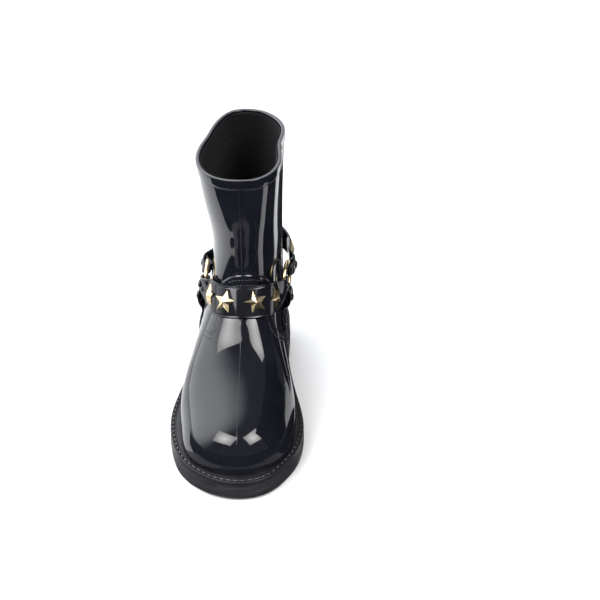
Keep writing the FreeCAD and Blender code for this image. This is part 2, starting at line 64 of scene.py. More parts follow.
ROWS = np.array([
    (-70, 8, -126.5, 10, 50.0, 45.5, .12, 2.00, 2.0, -1.5, 0),
    (-66, 9, -127.6, 31, 51.0, 46.3, .14, 2.05, 2.2, -1.5, 0),
    (-62, 10, -120.5, 48, 51.6, 46.8, .14, 2.10, 2.4, -1.5, 0),
    (-58, 10.5, -106, 58, 52.0, 47.2, .15, 2.15, 2.6, -1.5, 0),
    (-54, 10.5, -87, 64.8, 52.3, 47.5, .22, 2.20, 2.8, -1.5, 0),
    (-50, 9, -67, 73, 52.3, 47.3, .32, 2.25, 3.0, -1.3, 0),
    (-42, 6, -49, 83.5, 52.0, 46.5, .36, 2.25, 3.0, -1.0, 0),
    (-25, 3, -34, 96, 50.0, 44.0, .35, 2.20, 3.0, -0.8, 0),
    (0, 3, -22, 108.5, 46.6, 40.8, .33, 2.15, 2.8, -0.4, 0),
    (35, 3, -13.5, 120.5, 43.0, 37.5, .32, 2.10, 2.6, 0.0, 0),
    (75, 5, -9.3, 132, 39.5, 36.0, .33, 2.10, 2.5, 0.4, 0),
    (110, 12, -8.4, 143, 36.5, 35.0, .36, 2.10, 2.4, 0.6, 1),
    (127, 29, -9.4, 153, 33.4, 34.0, .40, 2.10, 2.2, 0.8, 2),
    (132.5, 51, -11, 162, 31.0, 33.2, .45, 2.10, 2.2, 1.0, 3),
    (132, 77, -13, 171, 29.4, 32.6, .49, 2.12, 2.15, 1.0, 4),
    (127, 104, -15, 181, 28.8, 32.2, .52, 2.15, 2.1, 1.0, 5),
    (121.5, 131, -17.5, 192, 29.8, 32.0, .54, 2.20, 2.1, 1.0, 5.5),
    (118, 162, -20.5, 207, 32.4, 32.2, .56, 2.25, 2.1, 1.0, 6),
    (116.5, 201, -24.5, 226, 35.0, 32.8, .58, 2.30, 2.1, 1.0, 6.5),
    (116.5, 252, -30, 252, 37.4, 33.6, .60, 2.35, 2.1, 1.0, 7),
])
OUTLINE = np.array([
    (1.5, -136.8), (-18.5, -133), (-34.2, -123), (-44.5, -112.5), (-51.3, -102.3), (-58.6, -82), (-62.3, -58),
    (-62.2, -38), (-59, -18), (-53, 8), (-47.5, 34), (-42.5, 60), (-39.2, 85), (-37, 105), (-31, 122),
    (-17, 134), (2.5, 137.5), (21, 134.5), (34.5, 123), (40, 106), (41, 85), (40.2, 60), (40.5, 34),
    (43.5, 8), (48.5, -18), (52.3, -38), (54.2, -58), (51.8, -82), (44.5, -102.3), (38.5, -112.5), (31, -123),
    (18.5, -133)])
FEATHER = np.array([(-150, 20.3), (-110, 19.5), (-60, 19.5), (-20, 21), (20, 26.5), (60, 31.5), (100, 33), (150, 33.5)])
GROUND = np.array([(-160, 6), (-137, 2.6), (-118, .7), (-98, 0), (4, 0), (18, 1.6), (36, 7), (50, 9), (54, 8.5),
                   (HEEL_FRONT, 0), (126, 0), (137.5, 1.4), (160, 4)])


def spline(xs, ys):
    """natural cubic spline through the points"""
    xs, ys = np.asarray(xs, float), np.asarray(ys, float)
    n, h = len(xs), np.diff(xs)
    a, d = np.eye(n), np.zeros(n)
    for i in range(1, n - 1):
        a[i, i - 1], a[i, i], a[i, i + 1] = h[i - 1], 2 * (h[i - 1] + h[i]), h[i]
        d[i] = 6 * ((ys[i + 1] - ys[i]) / h[i] - (ys[i] - ys[i - 1]) / h[i - 1])
    m = np.linalg.solve(a, d)

    def f(x):
        x = np.asarray(x, float)
        i = np.clip(np.searchsorted(xs, x, side="right") - 1, 0, n - 2)
        t, w = x - xs[i], h[i]
        return ((m[i] * (w - t) ** 3 + m[i + 1] * t ** 3) / (6 * w) + (ys[i] / w - m[i] * w / 6) * (w - t)
                + (ys[i + 1] / w - m[i + 1] * w / 6) * t)
    return f


LAST = len(ROWS) - 1
CH = [spline(np.arange(LAST + 1), ROWS[:, k]) for k in range(11)]
feather = spline(FEATHER[:, 0], FEATHER[:, 1])


def section(v, inset=0.0):
    v = np.asarray(v, float)
    r = [c(v) for c in CH]
    e = 0.02
    a, b = np.maximum(0, v - e), np.minimum(LAST, v + e)
    fy, fz = CH[2](b) - CH[2](a), CH[3](b) - CH[3](a)
    k = np.hypot(fy, fz)
    r[2] = r[2] + inset * fz / k
    r[3] = r[3] - inset * fy / k
    by, bz = CH[0](b) - CH[0](a), CH[1](b) - CH[1](a)
    by, bz = np.where(v < 5, 1.0, by), np.where(v < 5, 0.0, bz)
    k = np.hypot(by, bz)
    r[0] = r[0] - inset * bz / k
    r[1] = r[1] + inset * by / k
    r[4] = r[4] - inset
    r[5] = r[5] - inset
    return r


def on_section(r, phi):
    c, s = np.cos(phi), np.sin(phi)
    back = c > 0
    n = np.where(back, r[8], r[7])
    length = np.where(back, r[6], 1 - r[6])
    along = r[6] - length * np.sign(c) * np.abs(c) ** (2.0 / n)
    side = np.where(s > 0, r[5], -r[4])
    k = np.clip(along, 0, 1)
    x = r[10] + (r[9] - r[10]) * (0.5 - 0.5 * np.cos(np.pi * k)) + side * np.abs(s) ** (2.0 / n)
    return np.stack(np.broadcast_arrays(x, r[0] + (r[2] - r[0]) * along, r[1] + (r[3] - r[1]) * along), -1)


def unit(a):
    a = np.asarray(a, float)
    return a / np.maximum(np.linalg.norm(a, axis=-1, keepdims=True), 1e-12)


def skin(v, phi, out=0.0, inset=0.0):
    """points of the upper's outside, moved outwards, and the directions outwards there"""
    e = 0.01
    v, phi = np.broadcast_arrays(np.asarray(v, float), np.asarray(phi, float))
    p = on_section(section(v, inset), phi)
    du = on_section(section(np.minimum(LAST, v + e), inset), phi) - on_section(section(np.maximum(0, v - e), inset), phi)
    dp = on_section(section(v, inset), phi + e) - on_section(section(v, inset), phi - e)
    n = unit(np.cross(dp, du))
    mid = 0.5 * on_section(section(v, inset), 0.0 * phi) + 0.5 * on_section(section(v, inset), 0.0 * phi + np.pi)
    n = np.where(((n * (p - mid)).sum(-1) < 0)[..., None], -n, n)
    return p + n * np.asarray(out, float)[..., None], n


def side_param(y, z, side):
    """the section and the angle of the skin beside a place given by y and z; side is -1 lateral, 1 medial"""
    y, z = np.broadcast_arrays(np.asarray(y, float), np.asarray(z, float))
    lo, hi = np.full(y.shape, 4.0), np.full(y.shape, float(LAST))
    for _ in range(46):
        v = (lo + hi) / 2
        r = section(v)
        low = (r[2] - r[0]) * (z - r[1]) - (r[3] - r[1]) * (y - r[0]) < 0
        lo, hi = np.where(low, v, lo), np.where(low, hi, v)
    r = section(v)
    l2 = (r[2] - r[0]) ** 2 + (r[3] - r[1]) ** 2
    along = ((y - r[0]) * (r[2] - r[0]) + (z - r[1]) * (r[3] - r[1])) / l2
    kb = np.clip((r[6] - along) / r[6], 0, 1) ** (r[8] / 2)
    kf = np.clip((along - r[6]) / (1 - r[6]), 0, 1) ** (r[7] / 2)
    phi = np.arccos(np.where(along < r[6], kb, -kf))
    return v, np.where(np.asarray(side) < 0, 2 * np.pi - phi, phi)


def side_point(y, z, side, out=0.0):
    v, phi = side_param(y, z, side)
    return skin(v, phi, out)


def column_limits(phi, low_drop, inset=0.0, top=RIM_Z, floor=None):
    """first and last section of the skin at each angle: from below the feather line to the rim"""
    phi = np.asarray(phi, float)
    base = floor if floor is not None else feather

    def below(v):
        p = on_section(section(v, inset), phi)
        return p[..., 2] < base(p[..., 1]) - low_drop
    lo, hi = np.zeros(phi.shape), np.full(phi.shape, 16.0)
    for _ in range(40):
        v = (lo + hi) / 2
        b = below(v)
        lo, hi = np.where(b, v, lo), np.where(b, hi, v)
    start = hi
    lo, hi = np.full(phi.shape, 12.0), np.full(phi.shape, float(LAST))
    for _ in range(40):
        v = (lo + hi) / 2
        b = on_section(section(v, inset), phi)[..., 2] < top
        lo, hi = np.where(b, v, lo), np.where(b, hi, v)
    return start, lo


def skin_grid(phi, rows, low_drop, inset=0.0, top=RIM_Z, floor=None, weight=None):
    """section parameters for a grid of the skin, rows from the bottom up, evenly spaced along each column"""
    a, b = column_limits(phi, low_drop, inset, top, floor)
    fine = np.linspace(0, 1, 420)[:, None]
    v = a[None] + (b - a)[None] * fine
    p = on_section(section(v, inset), np.broadcast_to(phi, v.shape))
    step = np.linalg.norm(np.diff(p, axis=0), axis=-1)
    if weight is not None:
        step = step * weight(0.5 * (p[1:] + p[:-1]))
    s = np.concatenate([np.zeros((1, len(phi))), np.cumsum(step, 0)], 0)
    s /= s[-1:]
    want = np.linspace(0, 1, rows)
    out = np.empty((rows, len(phi)))
    for j in range(len(phi)):
        out[:, j] = np.interp(want, s[:, j], v[:, j])
    return out


def even_angles(n, low_drop=3.5, extra=()):
    """angles that space the columns evenly from the feather line to the rim"""
    phi = np.linspace(0, 2 * np.pi, 1441)
    a, b = column_limits(phi, low_drop)
    total = np.zeros(len(phi))
    for t in (0.0, 0.12, 0.3, 0.6, 1.0):
        v = a + (b - a) * t
        p = on_section(section(v), phi)
        d = np.linalg.norm(np.diff(p, axis=0), axis=-1)
        s = np.concatenate([[0], np.cumsum(d)])
        total += s / s[-1]
    total /= total[-1]
    return np.interp(np.arange(n) / n, total, phi)


def smooth_path(pts, n):
    pts = np.asarray(pts, float)
    xs = np.concatenate([[0], np.cumsum(np.linalg.norm(np.diff(pts, axis=0), axis=1))])
    f = [spline(xs, pts[:, k]) for k in range(3)]
    t = np.linspace(0, xs[-1], n)
    return np.stack([g(t) for g in f], -1)

# ------------------------------------------------------------------ the top of the shaft isn't an even oval
LEAN = np.array([(-3.12, 1.022), (-2.30, 1.03), (-1.70, 1.0), (-1.14, 0.96), (-0.45, 1.04), (-0.22, 1.055), (0.01, 1.0),
                 (0.40, 1.03), (0.73, 1.07), (1.15, 0.985), (1.65, 0.915), (2.15, 0.965), (2.65, 1.055)])
_t = np.concatenate([LEAN[:, 0] - 2 * np.pi, LEAN[:, 0], LEAN[:, 0] + 2 * np.pi])
lean_of = spline(_t, np.tile(LEAN[:, 1], 3))


def settle(p):
    """the soft top of the shaft: a little squarer at its corners and pinched at its sides"""
    p = np.array(p, float)
    w = np.clip((p[..., 2] - 148) / (RIM_Z - 148), 0, 1)
    w = w * w * (3 - 2 * w)
    th = np.arctan2(p[..., 0] - 5.0, p[..., 1] - 45.0)
    k = 1 + (lean_of(th) - 1) * w
    p[..., 0] = 5.0 + (p[..., 0] - 5.0) * k
    p[..., 1] = 45.0 + (p[..., 1] - 45.0) * k
    return p


# ------------------------------------------------------------------ meshes
def piece(name, verts, faces, mats, body="root", nodes=(), smooth=True, index=None, level=True):
    verts = np.asarray(verts, float).reshape(-1, 3)
    if level:
        verts = settle(verts)
    me = bpy.data.meshes.new(name)
    me.from_pydata(((verts + PLACE) * 0.001).tolist(), [], [list(map(int, f)) for f in faces])
    me.validate()
    for m in (mats if isinstance(mats, (list, tuple)) else [mats]):
        me.materials.append(m)
    if index is not None and len(index) == len(me.polygons):
        me.polygons.foreach_set("material_index", np.asarray(index, np.int32))
    me.polygons.foreach_set("use_smooth", np.full(len(me.polygons), bool(smooth)))
    o = bpy.data.objects.new(name, me)
    bpy.context.scene.collection.objects.link(o)
    fix_normals(o)
    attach(o, body)
    if nodes:
        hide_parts(*nodes)
    return o


def fix_normals(o):
    import bmesh
    bm = bmesh.new()
    bm.from_mesh(o.data)
    bmesh.ops.recalc_face_normals(bm, faces=bm.faces)
    bm.to_mesh(o.data)
    bm.free()


def sheet_faces(rows, cols, wrap=True, start=0):
    """quads of a grid whose rows follow each other; wrap joins the last column to the first"""
    i = np.arange(rows - 1)[:, None]
    j = np.arange(cols if wrap else cols - 1)[None]
    a = start + i * cols + j
    b = start + i * cols + (j + 1) % cols
    return np.stack([a, b, b + cols, a + cols], -1).reshape(-1, 4).tolist()


def join_parts(parts):
    """(verts, faces) lists made into one"""
    verts, faces, base = [], [], 0
    for v, f in parts:
        v = np.asarray(v, float).reshape(-1, 3)
        verts.append(v)
        faces += [[k + base for k in q] for q in f]
        base += len(v)
    return np.concatenate(verts), faces


def closed_rings(grid):
    """rows of closed loops, with the last row joined to the first: a tube bent round on itself"""
    rows, cols = grid.shape[:2]
    f = sheet_faces(rows, cols)
    last = (rows - 1) * cols
    f += [[last + j, last + (j + 1) % cols, (j + 1) % cols, j] for j in range(cols)]
    return grid.reshape(-1, 3), f


def capped_loft(loops):
    """rows of closed loops with a face at each end"""
    loops = np.asarray(loops, float)
    rows, cols = loops.shape[:2]
    f = sheet_faces(rows, cols)
    f.append(list(range(cols))[::-1])
    f.append([(rows - 1) * cols + j for j in range(cols)])
    return loops.reshape(-1, 3), f


def bead(path, normals, radius, sink=0.0, around=10, squash_to=1.0, ends=True):
    """a moulded bead or thread along a path that lies on a surface"""
    path, normals = np.asarray(path, float), unit(normals)
    n = len(path)
    t = unit(np.gradient(path, axis=0))
    w = unit(np.cross(normals, t))
    r = np.full(n, float(radius))
    if ends:
        d = np.concatenate([[0], np.cumsum(np.linalg.norm(np.diff(path, axis=0), axis=1))])
        e = np.minimum(d, d[-1] - d)
        r = radius * np.sqrt(np.clip(1 - (1 - np.clip(e / radius, 0.02, 1)) ** 2, 0.02, 1))
    a = np.arange(around) * 2 * np.pi / around
    c = path - normals * sink
    loops = (c[:, None] + w[:, None] * (r[:, None] * np.cos(a))[..., None]
             + normals[:, None] * (squash_to * r[:, None] * np.sin(a))[..., None])
    return capped_loft(loops)


def stitch_run(path, normals, pitch, length, radius, sink=0.15, start=0.0):
    """separate stitches laid along a path"""
    path, normals = np.asarray(path, float), np.asarray(normals, float)
    d = np.concatenate([[0], np.cumsum(np.linalg.norm(np.diff(path, axis=0), axis=1))])
    at = lambda s: np.stack([np.interp(s, d, path[:, k]) for k in range(3)], -1)
    nat = lambda s: unit(np.stack([np.interp(s, d, normals[:, k]) for k in range(3)], -1))
    out = []
    s = start + pitch * 0.5
    while s + length * 0.5 < d[-1]:
        q = np.linspace(s - length / 2, s + length / 2, 7)
        arch = 0.30 * radius * np.sin(np.linspace(0, np.pi, 7))
        out.append(bead(at(q) + nat(q) * arch[:, None], nat(q), radius, sink, 8))
        s += pitch
    return join_parts(out)


# ------------------------------------------------------------------ materials
def new_material(name):
    m = bpy.data.materials.new(name)
    m.use_nodes = True
    nt = m.node_tree
    bsdf = nt.nodes["Principled BSDF"]
    return m, nt, bsdf


def coords(nt, stretch=(1, 1, 1)):
    tc = nt.nodes.new("ShaderNodeTexCoord")
    mp = nt.nodes.new("ShaderNodeMapping")
    mp.inputs["Scale"].default_value = stretch
    nt.links.new(tc.outputs["Object"], mp.inputs["Vector"])
    return mp.outputs["Vector"]


def noise(nt, vec, scale, detail=4.0, rough=0.55):
    n = nt.nodes.new("ShaderNodeTexNoise")
    n.inputs["Scale"].default_value = scale
    n.inputs["Detail"].default_value = detail
    n.inputs["Roughness"].default_value = rough
    nt.links.new(vec, n.inputs["Vector"])
    return n.outputs["Fac"]


def ramp(nt, fac, stops):
    r = nt.nodes.new("ShaderNodeValToRGB")
    el = r.color_ramp.elements
    el[0].position, el[0].color = stops[0][0], (*stops[0][1], 1)
    el[1].position, el[1].color = stops[-1][0], (*stops[-1][1], 1)
    for p, c in stops[1:-1]:
        e = el.new(p)
        e.color = (*c, 1)
    nt.links.new(fac, r.inputs["Fac"])
    return r.outputs["Color"]


def remap(nt, fac, a, b, lo, hi):
    r = nt.nodes.new("ShaderNodeMapRange")
    r.inputs["From Min"].default_value, r.inputs["From Max"].default_value = a, b
    r.inputs["To Min"].default_value, r.inputs["To Max"].default_value = lo, hi
    nt.links.new(fac, r.inputs["Value"])
    return r.outputs["Result"]


def maths(nt, op, a, b=None):
    m = nt.nodes.new("ShaderNodeMath")
    m.operation = op
    for k, x in enumerate((a, b)):
        if x is None:
            continue
        if isinstance(x, (int, float)):
            m.inputs[k].default_value = x
        else:
            nt.links.new(x, m.inputs[k])
    return m.outputs["Value"]


def bump(nt, bsdf, layers):
    """layers of (height, distance in metres, strength)"""
    prev = None
    for h, dist, strength in layers:
        b = nt.nodes.new("ShaderNodeBump")
        b.inputs["Distance"].default_value = dist
        b.inputs["Strength"].default_value = strength
        nt.links.new(h, b.inputs["Height"])
        if prev:
            nt.links.new(prev, b.inputs["Normal"])
        prev = b.outputs["Normal"]
    nt.links.new(prev, bsdf.inputs["Normal"])


def moulded(name, base, worn, rough, specks=0.0, wave=0.00010, grain=0.000012, grain_scale=1400, spec=0.5, coat=0.0,
            stretch=(1, 1, 1)):
    """injection-moulded PVC: colour, gloss and a faint unevenness that all vary over the surface"""
    m, nt, bsdf = new_material(name)
    v = coords(nt, stretch)
    broad, fine = noise(nt, v, 26, 3), noise(nt, v, grain_scale, 5)
    dust = noise(nt, v, 520, 6, 0.7)
    col = ramp(nt, broad, [(0.30, base), (0.72, tuple(0.55 * a + 0.45 * b for a, b in zip(base, worn)))])
    if specks:
        mix = nt.nodes.new("ShaderNodeMix")
        mix.data_type = "RGBA"
        nt.links.new(remap(nt, dust, 0.66, 0.80, 0.0, specks), mix.inputs["Factor"])
        nt.links.new(col, mix.inputs["A"])
        mix.inputs["B"].default_value = (*worn, 1)
        col = mix.outputs["Result"]
    nt.links.new(col, bsdf.inputs["Base Color"])
    nt.links.new(remap(nt, noise(nt, v, 75, 5, 0.6), 0.3, 0.75, rough[0], rough[1]), bsdf.inputs["Roughness"])
    bsdf.inputs["Specular IOR Level"].default_value = spec
    bsdf.inputs["Coat Weight"].default_value = coat
    bsdf.inputs["Coat Roughness"].default_value = 0.04
    bump(nt, bsdf, [(noise(nt, v, 38, 2), wave, 0.5), (fine, grain, 0.6)])
    return m


def gold(name, base, dark, rough, scale=240):
    m, nt, bsdf = new_material(name)
    v = coords(nt)
    tone = noise(nt, v, scale, 5, 0.6)
    nt.links.new(ramp(nt, tone, [(0.28, dark), (0.55, base), (0.8, tuple(min(1, c * 1.06) for c in base))]),
                 bsdf.inputs["Base Color"])
    bsdf.inputs["Metallic"].default_value = 1.0
    vs = coords(nt, (1, 1, 7))
    scratch = noise(nt, vs, 900, 6, 0.7)
    nt.links.new(remap(nt, scratch, 0.3, 0.75, rough[0], rough[1]), bsdf.inputs["Roughness"])
    bump(nt, bsdf, [(scratch, 0.000012, 0.35), (noise(nt, v, 160, 2), 0.00008, 0.25)])
    return m


def textile(name, base, light, pitch, rough=(0.82, 0.96), rib=None):
    """a knitted lining: crossing yarns on the ribs, a soft fibre noise and a slight sheen"""
    m, nt, bsdf = new_material(name)
    v = coords(nt)
    sep = nt.nodes.new("ShaderNodeSeparateXYZ")
    nt.links.new(v, sep.inputs[0])
    k = 2 * math.pi / pitch
    flat = maths(nt, "ADD", sep.outputs["X"], sep.outputs["Y"])
    diff = maths(nt, "SUBTRACT", sep.outputs["X"], sep.outputs["Y"])
    a = maths(nt, "SINE", maths(nt, "MULTIPLY", flat, k))
    b = maths(nt, "SINE", maths(nt, "MULTIPLY", diff, k))
    c = maths(nt, "SINE", maths(nt, "MULTIPLY", sep.outputs["Z"], k * 1.3))
    weave = maths(nt, "ADD", maths(nt, "MULTIPLY", a, c), maths(nt, "MULTIPLY", b, c))
    weave = remap(nt, weave, -1.6, 1.6, 0.0, 1.0)
    fibre = noise(nt, v, 2600, 6, 0.75)
    both = maths(nt, "ADD", maths(nt, "MULTIPLY", weave, 0.6), maths(nt, "MULTIPLY", fibre, 0.4))
    nt.links.new(ramp(nt, both, [(0.22, base), (0.85, light)]), bsdf.inputs["Base Color"])
    nt.links.new(remap(nt, fibre, 0.3, 0.7, rough[0], rough[1]), bsdf.inputs["Roughness"])
    bsdf.inputs["Sheen Weight"].default_value = 0.05
    bsdf.inputs["Sheen Roughness"].default_value = 0.5
    bsdf.inputs["Specular IOR Level"].default_value = 0.12
    bump(nt, bsdf, [(weave, 0.00025, 0.6), (fibre, 0.0001, 0.5)])
    return m


M = {
    "upper": moulded("gloss_pvc", (0.0036, 0.0040, 0.0062), (0.012, 0.013, 0.018), (0.030, 0.075), specks=0.25,
                     wave=0.00016, grain=0.000004, spec=0.56),
    "seam": moulded("gloss_pvc_seams", (0.0032, 0.0035, 0.0052), (0.010, 0.010, 0.014), (0.10, 0.22), wave=0.0001,
                    grain=0.00001, spec=0.5),
    "rim": moulded("cut_edge", (0.030, 0.031, 0.036), (0.085, 0.088, 0.098), (0.34, 0.52), specks=0.5, grain=0.00004,
                   grain_scale=900, spec=0.5),
    "strap": moulded("strap_pvc", (0.0036, 0.0038, 0.0055), (0.014, 0.014, 0.018), (0.045, 0.11), specks=0.2,
                     wave=0.00012, grain=0.000008, spec=0.55),
    "welt": moulded("welt_pvc", (0.0036, 0.0037, 0.0048), (0.020, 0.020, 0.024), (0.34, 0.52), specks=0.35,
                    grain=0.00006, grain_scale=1000, spec=0.30),
    "stitch": moulded("moulded_stitches", (0.0060, 0.0062, 0.0075), (0.04, 0.04, 0.045), (0.13, 0.24), specks=0.2,
                      grain=0.00002, spec=0.7),
    "sole": moulded("sole_pvc", (0.0055, 0.0057, 0.0070), (0.034, 0.035, 0.040), (0.38, 0.58), specks=0.40,
                    grain=0.00006, grain_scale=850, spec=0.34, stretch=(1, 1, 2.2)),
    "gold": gold("gold_metal", (0.80, 0.65, 0.41), (0.52, 0.39, 0.21), (0.20, 0.36)),
    "wire": gold("gold_wire", (0.84, 0.68, 0.40), (0.60, 0.45, 0.24), (0.12, 0.26), 180),
    "cap": moulded("black_lacquer_caps", (0.0050, 0.0050, 0.0060), (0.05, 0.05, 0.055), (0.10, 0.22), specks=0.3, spec=0.7),
    "steel": gold("washer_steel", (0.52, 0.53, 0.55), (0.34, 0.34, 0.36), (0.28, 0.45)),
    "lining": textile("lining_textile", (0.0010, 0.0010, 0.0013), (0.0060, 0.0060, 0.0075), 0.0011),
    "cover": textile("footbed_textile", (0.008, 0.008, 0.009), (0.035, 0.035, 0.038), 0.0014),
    "foam": moulded("foam", (0.055, 0.055, 0.058), (0.10, 0.10, 0.105), (0.78, 0.94), grain=0.0002, grain_scale=1500,
                    spec=0.3),
    "board": moulded("board", (0.16, 0.13, 0.10), (0.30, 0.26, 0.20), (0.75, 0.9), grain=0.00015, grain_scale=1200,
                     spec=0.3),
    "filler": moulded("filler_pvc", (0.02, 0.02, 0.022), (0.05, 0.05, 0.055), (0.5, 0.7), spec=0.4),
}


def dense(n):
    return int(n * (1.0))


# ------------------------------------------------------------------ upper
LEDGE = np.array([(2.30, 112.0), (2.40, 121.0), (2.456, 125.8), (2.56, 131.0), (2.684, 135.7), (2.83, 139.0),
                  (2.990, 140.4), (3.12, 140.8), (3.245, 140.2), (3.35, 138.4), (3.441, 135.8), (3.583, 130.0),
                  (3.68, 122.0), (3.76, 112.0)])


def step(x, w):
    x = np.clip(x / w + 0.5, 0, 1)
    return x * x * (3 - 2 * x)


def relief(p, phi):
    """how far the skin stands out from its smooth form: the thicker vamp and a faint unevenness, mm"""
    x, y, z = p[..., 0], p[..., 1], p[..., 2]
    top = np.interp(phi, LEDGE[:, 0], LEDGE[:, 1], left=0, right=0)
    d = 0.95 * step(top - z, 0.9) * step(z - 110.0, 10.0)
    # a soft trough over the ledge, where the shaft's skin turns in to meet it
    d += -0.22 * np.exp(-((z - top - 1.3) / 1.1) ** 2) * (top > 118)
    flex = np.exp(-((y + 38) / 24) ** 2) * (z > 60) * (z < 115)
    d += 0.16 * flex * np.sin(0.19 * (y + 0.4 * z) + 0.06 * x)
    low = 0.07 * np.sin(0.055 * x + 0.05 * z + 1.0) * np.sin(0.06 * y + 0.5) + 0.025 * np.sin(0.08 * z + 0.05 * y + 2.0)
    return d + low * np.clip((z - 30) / 20, 0, 1) * (1 - 0.85 * step(z - 140.0, 24.0))


def level_ring(phi, z, off, inset=0.0):
    """a horizontal ring round the shaft at a height, moved outwards"""
    v = column_limits(phi, 3.5, inset, z)[1]
    p = on_section(section(v, inset), phi)
    t = np.roll(p, -1, 0) - np.roll(p, 1, 0)
    n = unit(np.stack([t[:, 1], -t[:, 0], 0 * t[:, 0]], -1))
    n = np.where(((n * (p - [5.0, 45.0, z])).sum(-1) < 0)[:, None], -n, n)
    q = p + n * off
    q[:, 2] = z
    return q


COLS = dense(520)
phi = even_angles(COLS)
rows = dense(250)
dens = lambda p: 1 + 1.6 * np.exp(-((p[..., 2] - 136) / 9) ** 2) * (p[..., 1] < 25)
v = skin_grid(phi, rows, 3.2, top=RIM_Z - 1.2, weight=dens)
P, N = skin(v, np.broadcast_to(phi, v.shape))
outer_skin = P + N * relief(P, np.broadcast_to(phi, v.shape))[..., None]
inner_rows = dense(60)
vi = skin_grid(phi, inner_rows, 3.2, inset=WALL, top=RIM_Z - 1.2)
inner_skin = on_section(section(vi, WALL), np.broadcast_to(phi, vi.shape))[::-1]
V0, F0 = closed_rings(np.concatenate([outer_skin, inner_skin], 0))
upper = piece("rain_boot_upper", V0, F0, M["upper"], nodes=("upper_shell",))

# raised parting line down the front, over the instep and the toe
vv = np.linspace(column_limits(np.array([np.pi]), -0.6)[0][0], column_limits(np.array([np.pi]), 0, top=RIM_Z - BAND_H)[1][0], dense(420))
pp, nn = skin(vv, np.full(len(vv), 3.128))
pp = pp + nn * relief(pp, np.full(len(vv), 3.128))[:, None]
keep_top = pp[:, 2] > 117
ridge_parts = [bead(pp, nn, 0.34, 0.20, 8)]
pb, nb = skin(np.linspace(12.2, 18.2, dense(160)), np.zeros(dense(160)))
ridge_parts.append(bead(pb + nb * relief(pb, np.zeros(len(pb)))[:, None], nb, 0.34, 0.20, 8))
rv, rf = join_parts(ridge_parts)
piece("parting_line", rv, rf, M["upper"])


def on_skin(points, n, lift=0.0):
    """a smooth line over the skin through (section, angle) points, with its normals"""
    points = np.asarray(points, float)
    s = np.concatenate([[0], np.cumsum(np.hypot(np.diff(points[:, 0]) * 12, np.diff(points[:, 1]) * 35))])
    f, g = spline(s, points[:, 0]), spline(s, points[:, 1])
    t = np.linspace(0, s[-1], n)
    q, m = skin(f(t), g(t))
    q = q + m * (relief(q, g(t)) + lift)[:, None]
    return q, m


# moulded seams at the ankle: a stitched seam down from under the strap, then a double line running back
seams, threads = [], []
lat_seam = [(8.62, 3.530), (8.38, 3.530), (7.92, 3.548), (7.57, 3.590), (7.32, 3.618)]
q, m = on_skin(lat_seam, 60)
seams.append(bead(q, m, 0.56, 0.24, 10))
q2, m2 = on_skin([(a, b + 0.045) for a, b in lat_seam], 60)
threads.append(stitch_run(q2, m2, 2.9, 1.9, 0.46, 0.08))
q2, m2 = on_skin([(a, b - 0.045) for a, b in lat_seam], 60)
threads.append(stitch_run(q2, m2, 2.9, 1.9, 0.46, 0.08, 1.4))
lat_in = [(7.44, 3.610), (7.52, 3.680), (8.05, 3.853), (9.08, 4.158), (10.05, 4.40), (10.7, 4.62)]
lat_out = [(7.15, 3.610), (7.22, 3.680), (7.69, 3.837), (8.53, 4.114), (9.45, 4.40), (10.15, 4.66)]
for line in (lat_in, lat_out):
    q, m = on_skin(line, 140)
    seams.append(bead(q, m, 0.48, 0.20, 10))
med_in = [(8.55, 2.585), (8.31, 2.541), (8.08, 2.490), (7.84, 2.423), (7.86, 2.280), (8.39, 2.019), (9.25, 1.78), (10.1, 1.60)]
med_out = [(8.95, 2.44), (8.68, 2.390), (8.42, 2.280), (8.40, 2.146), (8.85, 1.93), (9.6, 1.72), (10.35, 1.56)]
for line in (med_in, med_out):
    q, m = on_skin(line, 150)
    seams.append(bead(q, m, 0.48, 0.22, 10))
    threads.append(stitch_run(q + m * 0.1, m, 2.9, 1.8, 0.52, 0.02))
sv, sf = join_parts(seams)
piece("ankle_seams", sv, sf, M["seam"])
# two rows of stitches along the vamp's top line, above the strap
for dz, lim in ((-4.2, (2.62, 3.42)), (-9.2, (2.50, 3.52))):
    ph = np.linspace(lim[0], lim[1], 120)
    zt = np.interp(ph, LEDGE[:, 0], LEDGE[:, 1]) + dz
    vz = column_limits(ph, 3.5, top=1e9)[0]
    lo, hi = np.full(ph.shape, 8.0), np.full(ph.shape, 14.0)
    for _ in range(40):
        mid = (lo + hi) / 2
        b = on_section(section(mid), ph)[:, 2] < zt
        lo, hi = np.where(b, mid, lo), np.where(b, hi, mid)
    q, m = skin(lo, ph)
    q = q + m * relief(q, ph)[:, None]
    threads.append(stitch_run(q, m, 3.0, 2.1, 0.58, 0.02))
tv, tf = join_parts(threads)
piece("seam_stitches", tv, tf, M["stitch"])

# top-line band: folded over the rim, its top face the cut edge
cols_b = dense(420)
phib = even_angles(cols_b)
prof = [(0.02, RIM_Z - 9.05), (0.40, RIM_Z - 9.12), (0.72, RIM_Z - 8.85), (0.82, RIM_Z - 8.4), (0.84, RIM_Z - 6.5),
        (0.82, RIM_Z - 4.0), (0.82, RIM_Z - 1.4), (0.80, RIM_Z - 0.7), (0.66, RIM_Z - 0.28), (0.36, RIM_Z - 0.06),
        (0.0, RIM_Z), (-0.8, RIM_Z + 0.02), (-1.5, RIM_Z + 0.01), (-1.95, RIM_Z - 0.10), (-2.25, RIM_Z - 0.35),
        (-2.42, RIM_Z - 0.8), (-2.46, RIM_Z - 2.4), (-2.40, RIM_Z - 3.2), (-1.2, RIM_Z - 3.4), (-0.4, RIM_Z - 6.0)]
grid = np.stack([level_ring(phib, min(z, RIM_Z + 0.02), off) for off, z in prof], 0)
bv, bf = closed_rings(grid)
idx = np.zeros(len(bf), int)
for k in range(9, 14):
    idx[k * cols_b:(k + 1) * cols_b] = 1
